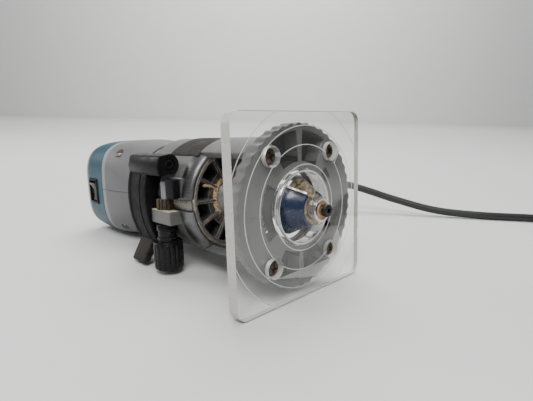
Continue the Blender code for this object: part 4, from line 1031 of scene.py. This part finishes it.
def housing_half(name, upper):
    rows = blended(HOUSING_ROWS, 1.6)
    x, half_y, half_z, power = rows[0]
    # the front edge is rounded in two short steps
    edge = [(x, half_y - 0.5, half_z - 0.5, power), (x - 0.15, half_y - 0.15, half_z - 0.15, power),
            (x - 0.5, half_y, half_z, power)]
    # a shallow groove, then the pale band in front of the cap: its paler grey is a painted highlight
    rows = edge + [row for row in rows[1:] if row[0] > -163.6]
    rows += [(-163.8, 38.42, 36.45, 3.52), (-164.0, 38.2, 36.25, 3.53), (-164.5, 38.2, 36.25, 3.54),
             (-164.7, 38.46, 36.5, 3.55), (-169.7, 38.5, 36.6, 3.6), (-170.0, 38.2, 36.3, 3.6)]
    shell = loft(name, [squircle(*row) for row in rows])
    cavity = lathe("cavity", [(-180, 0), (-180, 28.8), (-131.3, 28.8), (-131.3, 32.8), (-120, 32.8),
                              (-120, 0)], steps=96)
    cut(shell, cavity)
    split, gap = 0.5, 0.3
    if upper:
        away, sink, node = (-60, split + gap / 2), (25.5, 60), "housing_upper"
    else:
        away, sink, node = (split - gap / 2, 60), (-60, -25.5), "housing_lower"
    cut(shell, box("split", (-200, -60, away[0]), (-100, 60, away[1])))
    places = [(HOUSING_SCREW_X, side * HOUSING_SCREW_Y) for side in (-1, 1)]
    cut(shell, merged([rod("hole", 1.75, -60, 60, place, axis="Z", steps=24) for place in places]))
    cut(shell, merged([rod("sink", 3.3, *sink, place, axis="Z", steps=48) for place in places]))

    def pick(at, normal):
        # the band behind x -164.6 takes the paler grey, a painted highlight
        return 1 if at.x < -164.6 else 0

    return settle(shell, "motor", [GREY, BAND_HIGHLIGHT_GREY], [node], smooth=25, pick=pick)


def housing_screw(index, side):
    profile = [(-26.5, 0.0), (-26.5, 1.4), (25.8, 1.4), (25.8, 2.7), (26.0, 2.85), (26.6, 2.8), (27.3, 2.5),
               (27.8, 1.8), (28.0, 0.9), (28.0, 0.0)]
    x, y = HOUSING_SCREW_X, side * HOUSING_SCREW_Y
    screw = lathe("housing_screw_head_%d" % index, profile, steps=40, axis=(0, 0, 1), centre=(x, y, 0))
    for w, t in ((1.8, 0.42), (0.42, 1.8)):
        cut(screw, box("cross", (x - w, y - t, 26.8), (x + w, y + t, 30)))
    return settle(screw, "motor", [BROWN_PIN], ["housing_screw_%d" % index])


def rear_cap():
    table = ((CAP_FRONT, 38.5, 36.6, 3.6), (-178, 38.5, 36.5, 3.6), (-186, 38.5, 36.3, 3.6),
             (-193, 38.4, 35.8, 3.6), (CAP_BACK, 38.2, 35.3, 3.6))
    rows = blended(table, 2.0)
    rows[0] = (CAP_FRONT - 0.35, *rows[0][1:])
    rows = [(CAP_FRONT, 38.15, 36.25, 3.6)] + rows[:-1]
    rows += [(CAP_BACK + 0.35, 38.2, 35.3, 3.6), (CAP_BACK, 37.85, 34.95, 3.6)]
    cap = loft("rear_cover", [squircle(*row) for row in rows])
    cut(cap, loft("inner", [squircle(x, 35.8, 33.2, 3.4) for x in (-160, -194.4)]))
    half_x, half_z = BEZEL_HALF_X + FIT, BEZEL_HALF_Z + FIT
    cut(cap, box("switch", (SWITCH_X - half_x, -45, SWITCH_Z - half_z),
                 (SWITCH_X + half_x, -30, SWITCH_Z + half_z)))
    cut(cap, rod("gland", 7.3, 20, 60, (GUARD_X, GUARD_Z), axis="Y", steps=64))
    return settle(cap, "motor", [TEAL], ["rear_cap"], smooth=25)


def end_plate():
    rows = [(-197.3, 37.9, 34.9, 3.6), (-197.6, 38.2, 35.2, 3.6), (-199.0, 38.15, 35.05, 3.6),
            (-199.6, 38.1, 34.9, 3.6), (-200.4, 37.85, 34.6, 3.58), (-201.1, 37.3, 34.05, 3.54),
            (-201.7, 36.6, 33.35, 3.48), (-202.2, 35.8, 32.6, 3.38), (END_BACK, 35.2, 32.0, 3.3)]
    plate = loft("end_cover", [squircle(*row) for row in rows])
    return settle(plate, "motor", [END_GREY], ["end_plate"], smooth=30)


def switch_bezel():
    x, z = SWITCH_X, SWITCH_Z
    bezel = bevel(box("switch_frame", (x - BEZEL_HALF_X, -39.4, z - BEZEL_HALF_Z),
                      (x + BEZEL_HALF_X, -33.5, z + BEZEL_HALF_Z)), 0.6, 3)
    cut(bezel, box("gap", (x - 5.7, -42, z - 8.1), (x + 5.7, -30, z + 8.1)))
    return settle(bezel, "motor", [MATT], ["switch_bezel"])


def rocker_switch():
    half, steps = 7.1, 16
    ways = [-1 + 2 * i / steps for i in range(steps + 1)]
    face = [(-38.15 - 1.15 * t * t, t * half) for t in ways]
    shape = [(-34.2, -half + 1.5)] + face + [(-34.2, half - 1.5)]
    turn = Matrix.Rotation(math.radians(SWITCH_LEAN), 2)
    outline = []
    for y, z in shape:
        p = turn @ Vector((y - SWITCH_Y, z))
        outline.append((p.x + SWITCH_Y, p.y + SWITCH_Z))
    rocker = bevel(prism("switch_rocker", outline, SWITCH_X - 5.3, SWITCH_X + 5.3), 0.4, 3)
    return settle(rocker, "rocker", [GLOSSY], ["rocker_switch"])


def cord_guard():
    profile = [(33.2, 0.0), (33.2, 8.2), (33.5, 8.6), (34.5, 8.6), (34.8, 8.3), (34.8, 7.0), (39.0, 7.0)]
    start, ribs, pitch = 39.4, 9, 2.75
    for k in range(ribs):
        at = start + k * pitch
        r = 6.9 - 2.1 * (at - start) / (GUARD_END_Y - start)
        profile += [(at, r - 0.9), (at + 0.7, r - 0.9), (at + 0.95, r), (at + 2.3, r - 0.1),
                    (at + 2.55, r - 0.9)]
    profile += [(GUARD_END_Y - 1.0, 4.6), (GUARD_END_Y - 0.3, 4.5), (GUARD_END_Y, 4.1), (GUARD_END_Y, 0.0)]
    guard = lathe("cord_strain_relief", profile, steps=48, axis=(0, 1, 0), centre=(GUARD_X, 0, GUARD_Z))
    return settle(guard, "motor", [MATT], ["cord_guard"])


# ---- spindle and cutter ----
BIT_TURN = 50.0
BIT_PROFILE = ((-15.5, 5.2), (-14.0, 12.5), (-12.6, 15.2), (-7.0, 15.8), (-4.0, 14.4), (-0.5, 12.2),
               (2.6, 10.6), (5.6, 9.2))


def bit_body():
    rows = blended(BIT_PROFILE, 0.9)
    profile = [(-45.0, 0.0), (-45.0, 3.0), (-44.8, 3.175), (-17.5, 3.175)] + rows
    profile += [(6.05, 8.0), (6.2, 4.6), (6.2, 2.2), (12.2, 2.2), (12.2, 0.0)]
    body = lathe("cutter_body", profile, steps=128)
    gullets = []
    for k in range(2):
        gullet = box("gullet", (-17.0, 2.4, 4.4), (7.5, 18.0, 20.0))
        gullets.append(spun(bevel(gullet, 0.8, 3), BIT_TURN + 180 * k))
    cut(body, merged(gullets))

    def pick(at, normal):
        """Gullet walls are bare metal: they face across the axis and lie inside the turned skin."""
        across = math.hypot(at.y, at.z)
        if at.x > 6.1 or at.x < -16.0:
            return 1
        outward = (normal.y * at.y + normal.z * at.z) / max(across, 1e-6)
        return 1 if outward < 0.45 and abs(normal.x) < 0.5 else 0

    return settle(body, "spindle", [BLUE, GULLET], ["bit_body"], pick=pick)


def pilot_ring():
    profile = [(6.7, 4.95), (6.7, 6.0), (7.05, 6.35), (11.35, 6.35), (11.7, 6.0), (11.7, 5.2), (11.45, 4.95)]
    ring = lathe("pilot_bearing", profile, steps=96)
    return settle(ring, "pilot", [BRIGHT], ["pilot_ring"])


def pilot_seal():
    profile = [(6.7, 2.5), (6.7, 4.85), (11.35, 4.85), (11.35, 4.35), (11.15, 4.2), (11.15, 3.75),
               (11.4, 3.55), (11.6, 3.3), (11.6, 2.5)]
    seal = lathe("pilot_shield", profile, steps=80)
    return settle(seal, "spindle", [BRONZE], ["pilot_seal"])


def pilot_screw():
    profile = [(12.6, 0.0), (12.6, 2.7), (12.8, 2.95), (13.2, 3.3), (15.1, 3.3), (15.45, 3.1), (15.6, 2.8),
               (15.6, 0.0)]
    screw = lathe("pilot_cap_screw", profile, steps=64)
    cut(screw, rod("socket", 1.45, 14.0, 20, (0, 0), steps=6))
    return settle(screw, "spindle", [BLACK_STEEL], ["pilot_screw"])


def rack():
    return refined("rack", "depth_rack", "motor", [TOOTHED], 0.08, 1)


def carbide(index):
    return refined("carbide_%d" % index, "cutter_tip_%d" % index, "spindle", [CARBIDE], 0.12, 2)


# ---- mains lead, in world millimetres ----
CORD_R, CORD_LENGTH = 3.5, 2.4
CORD_ROUTE = ((-60.0, 118.0, 36.0), (-30.0, 152.0, 31.5), (2.0, 184.0, 25.5), (34.0, 207.0, 15.0),
              (68.0, 228.0, 6.5), (103.0, 253.0, 3.9), (134.0, 277.0, 3.9), (158.4, 295.2, 3.9))
COIL_AT = Vector((207.8, 270.2, 0.0))
COIL_COLUMNS, COIL_LAYERS = (49.7, 42.5, 35.3), (3.9, 11.0, 18.1)
COIL_START, LEAD_TURN = 126.87, -30.0
LEAD_Z, PLUG_FROM, TIE_AT = 8.0, 39.0, 60.0
# (column, layer) of each turn, and how far round, in degrees of winding, it moves to the next
COIL_TURNS = ((0, 0, 310), (1, 0, 670), (2, 0, 985), (2, 1, 1345), (2, 2, 1660), (1, 2, 1975), (1, 1, 2290),
              (0, 1, None))
SWITCH_OVER = 100.0


def smooth_step(t):
    t = max(0.0, min(1.0, t))
    return t * t * (3 - 2 * t)


def coil_point(wound):
    """Where the lead lies after that many degrees round the coil."""
    column, layer = COIL_COLUMNS[COIL_TURNS[0][0]], COIL_LAYERS[COIL_TURNS[0][1]]
    for (c0, l0, middle), (c1, l1, _) in zip(COIL_TURNS, COIL_TURNS[1:]):
        share = smooth_step((wound - middle) / SWITCH_OVER + 0.5)
        column += (COIL_COLUMNS[c1] - COIL_COLUMNS[c0]) * share
        layer += (COIL_LAYERS[l1] - COIL_LAYERS[l0]) * share
    x, y = polar(column, COIL_START - wound)
    return COIL_AT + Vector((x, y, layer))


def lead_frame():
    """Where the plug's end leaves the coil, and its heading."""
    x, y = polar(1.0, LEAD_TURN)
    return COIL_AT + Vector((x, y, 0)) * COIL_COLUMNS[0], Vector((y, -x, 0.0))


def resampled(knots, count):
    """A smooth centripetal curve through the knots, read at even steps."""
    pts = [knots[0] * 2 - knots[1]] + list(knots) + [knots[-1] * 2 - knots[-2]]
    dense = []
    for p0, p1, p2, p3 in zip(pts, pts[1:], pts[2:], pts[3:]):
        t1 = (p1 - p0).length ** 0.5
        t2 = t1 + (p2 - p1).length ** 0.5
        t3 = t2 + (p3 - p2).length ** 0.5
        for k in range(30):
            t = t1 + (t2 - t1) * k / 30
            a1, a2 = p0.lerp(p1, t / t1), p1.lerp(p2, (t - t1) / (t2 - t1))
            a3 = p2.lerp(p3, (t - t2) / (t3 - t2))
            b1, b2 = a1.lerp(a2, t / t2), a2.lerp(a3, (t - t1) / (t3 - t1))
            dense.append(b1.lerp(b2, (t - t1) / (t2 - t1)))
    dense.append(knots[-1])
    total = sum((b - a).length for a, b in zip(dense, dense[1:]))
    out, walked = [dense[0]], 0.0
    for a, b in zip(dense, dense[1:]):
        step = (b - a).length
        while walked + step >= total * len(out) / count - 1e-9 and len(out) < count:
            out.append(a.lerp(b, (total * len(out) / count - walked) / step))
        walked += step
    return out + [dense[-1]]


def mains_lead():
    exit_at = TOOL @ (Vector((GUARD_X, GUARD_END_Y + 0.3, GUARD_Z)) * MM) / MM
    straight = exit_at + Vector((0, 10.0, 0))
    route = [exit_at, straight] + [Vector(p) for p in CORD_ROUTE] + [coil_point(0.0)]
    points = resampled(route, 26)[:-1]
    turns = (COIL_START - LEAD_TURN) % 360 + 360 * 7
    steps = round(turns / 10)
    points += [coil_point(turns * i / steps) for i in range(steps + 1)]
    start, heading = lead_frame()
    for distance in (8.0, 16.0, 24.0, 32.0, PLUG_FROM + 1.5):
        drop = COIL_LAYERS[1] + (LEAD_Z - COIL_LAYERS[1]) * smooth_step(distance / PLUG_FROM)
        points.append(start + heading * distance + Vector((0, 0, drop)))
    curve = bpy.data.curves.new("mains_lead", "CURVE")
    curve.dimensions = "3D"
    curve.resolution_u = 4
    curve.bevel_depth = CORD_R * MM
    curve.bevel_resolution = 5
    curve.use_fill_caps = True
    line = curve.splines.new("BEZIER")
    line.bezier_points.add(len(points) - 1)
    for knot, point in zip(line.bezier_points, points):
        knot.co = point * MM
        knot.handle_left_type = knot.handle_right_type = "AUTO"
    curve.materials.append(SHEATH)
    lead = placed("mains_lead", curve)
    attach(lead, "motor")
    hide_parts("cord_tube", "cord_coil", "cord_lead")
    pieces = [cord_guard(), cord_tie(), plug_body(), plug_blade(1, -1), plug_blade(2, 1)]


def cord_tie():
    """A hook-and-loop strap round the wound turns, its tail pressed flat on top."""
    x0, x1 = COIL_COLUMNS[2] - CORD_R, COIL_COLUMNS[0] + CORD_R
    z0, z1 = COIL_LAYERS[0] - CORD_R, COIL_LAYERS[2] + CORD_R
    inner = soften([(x0 - 0.1, z0 + 0.1), (x1 + 0.1, z0 + 0.1), (x1 + 0.1, z1 - 6.5), (x1 - 6.5, z1 + 0.1),
                    (x0 - 0.1, z1 + 0.1)], 4.0, 5)
    centre = Vector(((x0 + x1) / 2, (z0 + z1) / 2))
    bm = bmesh.new()
    rings = []
    for across, push in ((-4.0, 0.0), (-4.0, 0.45), (4.0, 0.45), (4.0, 0.0)):
        ring = []
        for r, z in inner:
            out = (Vector((r, z)) - centre).normalized() * push
            ring.append(bm.verts.new((r + out.x, across, max(0.0, z + out.y))))
        rings.append(ring)
    count = len(inner)
    for ring, following in zip(rings, rings[1:] + rings[:1]):
        for i in range(count):
            j = (i + 1) % count
            bm.faces.new((ring[i], ring[j], following[j], following[i]))
    strap = to_object("cord_strap", bm)
    tail = bevel(box("tail", (x0 + 3.0, -4.0, z1 + 0.45), (x1 - 7.5, 4.0, z1 + 1.3)), 0.3, 2)
    strap = merged([strap, tail])
    strap.data.transform(Matrix.Translation(COIL_AT) @ Matrix.Rotation(math.radians(TIE_AT), 4, "Z"))
    return settle(strap, "motor", [MATT], ["cord_tie"], place=Matrix.Identity(4))


def along_lead(piece):
    """Turns a piece drawn along +X onto the plug's end of the lead."""
    start, heading = lead_frame()
    turn = Vector((1, 0, 0)).rotation_difference(heading).to_matrix().to_4x4()
    place = Matrix.Translation(start + heading * PLUG_FROM + Vector((0, 0, LEAD_Z)))
    piece.data.transform(place @ turn)
    return piece


def plug_body():
    rows = ((22.0, 7.0, 5.6, 2.6), (23.0, 8.2, 6.2, 2.8), (26.0, 9.6, 6.8, 3.2), (30.0, 10.8, 7.1, 4.0),
            (36.0, 11.8, 7.3, 5.0), (44.0, 12.3, 7.4, 6.0), (52.0, 12.4, 7.4, 7.0), (56.6, 12.4, 7.4, 7.0),
            (57.6, 12.1, 7.1, 7.0), (58.0, 11.6, 6.6, 7.0))
    body = loft("plug_moulding", [squircle(*row, 96) for row in rows])
    for k in range(4):
        for side in (-1, 1):
            cut(body, rod("groove", 1.0, -14, 14, (33.0 + 4.2 * k, side * 12.6), axis="Z", steps=20))
    profile = [(0.0, 0.0), (0.0, 4.1), (0.5, 4.5)]
    for k in range(6):
        at = 1.6 + 3.4 * k
        r = 4.6 + 1.5 * at / 22
        profile += [(at, r), (at + 0.3, r - 0.75), (at + 1.3, r - 0.75), (at + 1.6, r + 0.1)]
    profile += [(23.5, 6.1), (23.5, 0.0)]
    join(body, lathe("relief", profile, steps=48))
    return settle(along_lead(body), "motor", [MATT], ["plug_body"], smooth=32,
                  place=Matrix.Identity(4))


def plug_blade(index, side):
    y = side * 6.35
    blade = bevel(box("plug_pin_%d" % index, (57.7, y - 0.75, -3.1), (75.0, y + 0.75, 3.1)), 0.3, 2)
    cut(blade, rod("hole", 1.5, y - 3, y + 3, (70.0, 0.0), axis="Y", steps=24))
    return settle(along_lead(blade), "motor", [BRASS], ["plug_blade_%d" % index],
                  place=Matrix.Identity(4))


# ---- inner pieces keep their CAD shape and get their finish ----
INNER = ((LAMINATE, ("stator", "armature_core")), (COPPER, ("commutator",)),
         (MATT, ("cooling_fan", "brush_carrier")), (BRASS, ("brush_holder_1", "brush_holder_2")),
         (CARBON, ("carbon_brush_1", "carbon_brush_2")),
         (BRIGHT, ("spindle_shaft", "front_bearing", "rear_bearing")),
         (BLACK_STEEL, ("collet", "collet_nut")))


def finish_inner():
    for mat, names in INNER:
        for name in names:
            node = frame["nodes"][name]
            for index in range(len(node.material_slots)):
                node.material_slots[index].material = mat


# ---- stage ----
def stage_sheet(name, corners, material):
    mesh = bpy.data.meshes.new(name)
    mesh.from_pydata(corners, [], [(0, 1, 2, 3)])
    mesh.materials.append(material)
    placed(name, mesh)


def pale_floor():
    paint = Paint("pale_floor", rough=0.75)
    material = paint.finish(paint.mix(paint.noise(220.0, 4.0, 0.6), (0.66, 0.655, 0.645), (0.71, 0.705, 0.695)))
    half = 4.0
    stage_sheet("floor", [(-half, -half, 0), (half, -half, 0), (half, half, 0), (-half, half, 0)], material)


def pale_wall():
    """A far pale wall, square to the camera's heading."""
    distance, half_width, height = 3.2, 5.0, Vector((0, 0, 4))
    paint = Paint("pale_wall", rough=0.9)
    material = paint.finish(paint.mix(paint.noise(400.0), (0.80, 0.80, 0.79), (0.84, 0.84, 0.83)))
    yaw = math.radians(CAMERA_YAW)
    heading = Vector((math.sin(yaw), math.cos(yaw), 0))
    foot, side = heading * distance, Vector((heading.y, -heading.x, 0)) * half_width
    corners = [foot - side, foot + side, foot + side + height, foot - side + height]
    stage_sheet("wall", corners, material)


def soft_light(name, place, target, size, power, colour=(1.0, 1.0, 1.0)):
    data = bpy.data.lights.new(name, "AREA")
    data.shape = "RECTANGLE"
    data.size, data.size_y = size
    data.energy = power
    data.color = colour
    lamp = placed(name, data)
    lamp.location = place
    away = Vector(target) - Vector(place)
    lamp.rotation_euler = away.to_track_quat("-Z", "Y").to_euler()


def studio():
    world = bpy.data.worlds.new("pale_room")
    world.use_nodes = True
    back = world.node_tree.nodes["Background"]
    back.inputs["Color"].default_value = (0.86, 0.87, 0.89, 1.0)
    back.inputs["Strength"].default_value = 0.32
    bpy.context.scene.world = world
    middle = (0.0, 0.0, 0.05)
    soft_light("key", (0.55, -0.55, 1.05), middle, (0.6, 0.6), 13.0)
    soft_light("top", (-0.3, 0.35, 1.3), middle, (1.0, 1.0), 20.0)
    soft_light("side", (-1.0, -0.6, 0.55), middle, (0.4, 0.6), 5.0)
    soft_light("wall_wash", (-1.0, 1.1, 2.2), (-2.3, 2.2, 0.9), (1.5, 0.8), 70.0)


pale_floor()
pale_wall()
studio()
mains_lead()
insert_plate()
for number, (screw_y, screw_z) in enumerate(screw_places(), 1):
    plate_screw(number, screw_y, screw_z)
for build in (base_casting, grip_panel, clamp_block, lever_bolt, lock_lever, adjust_knob, pinion_shaft,
              ledge_dust, motor_barrel, rack, front_end_cap, nose_dust):
    build()
housing_half("housing_shell_upper", True)
housing_half("housing_shell_lower", False)
for number, screw_side in ((1, -1), (2, 1)):
    housing_screw(number, screw_side)
for build in (rear_cap, end_plate, switch_bezel, rocker_switch, bit_body):
    build()
for number in (1, 2):
    carbide(number)
for build in (pilot_ring, pilot_seal, pilot_screw, finish_inner):
    build()
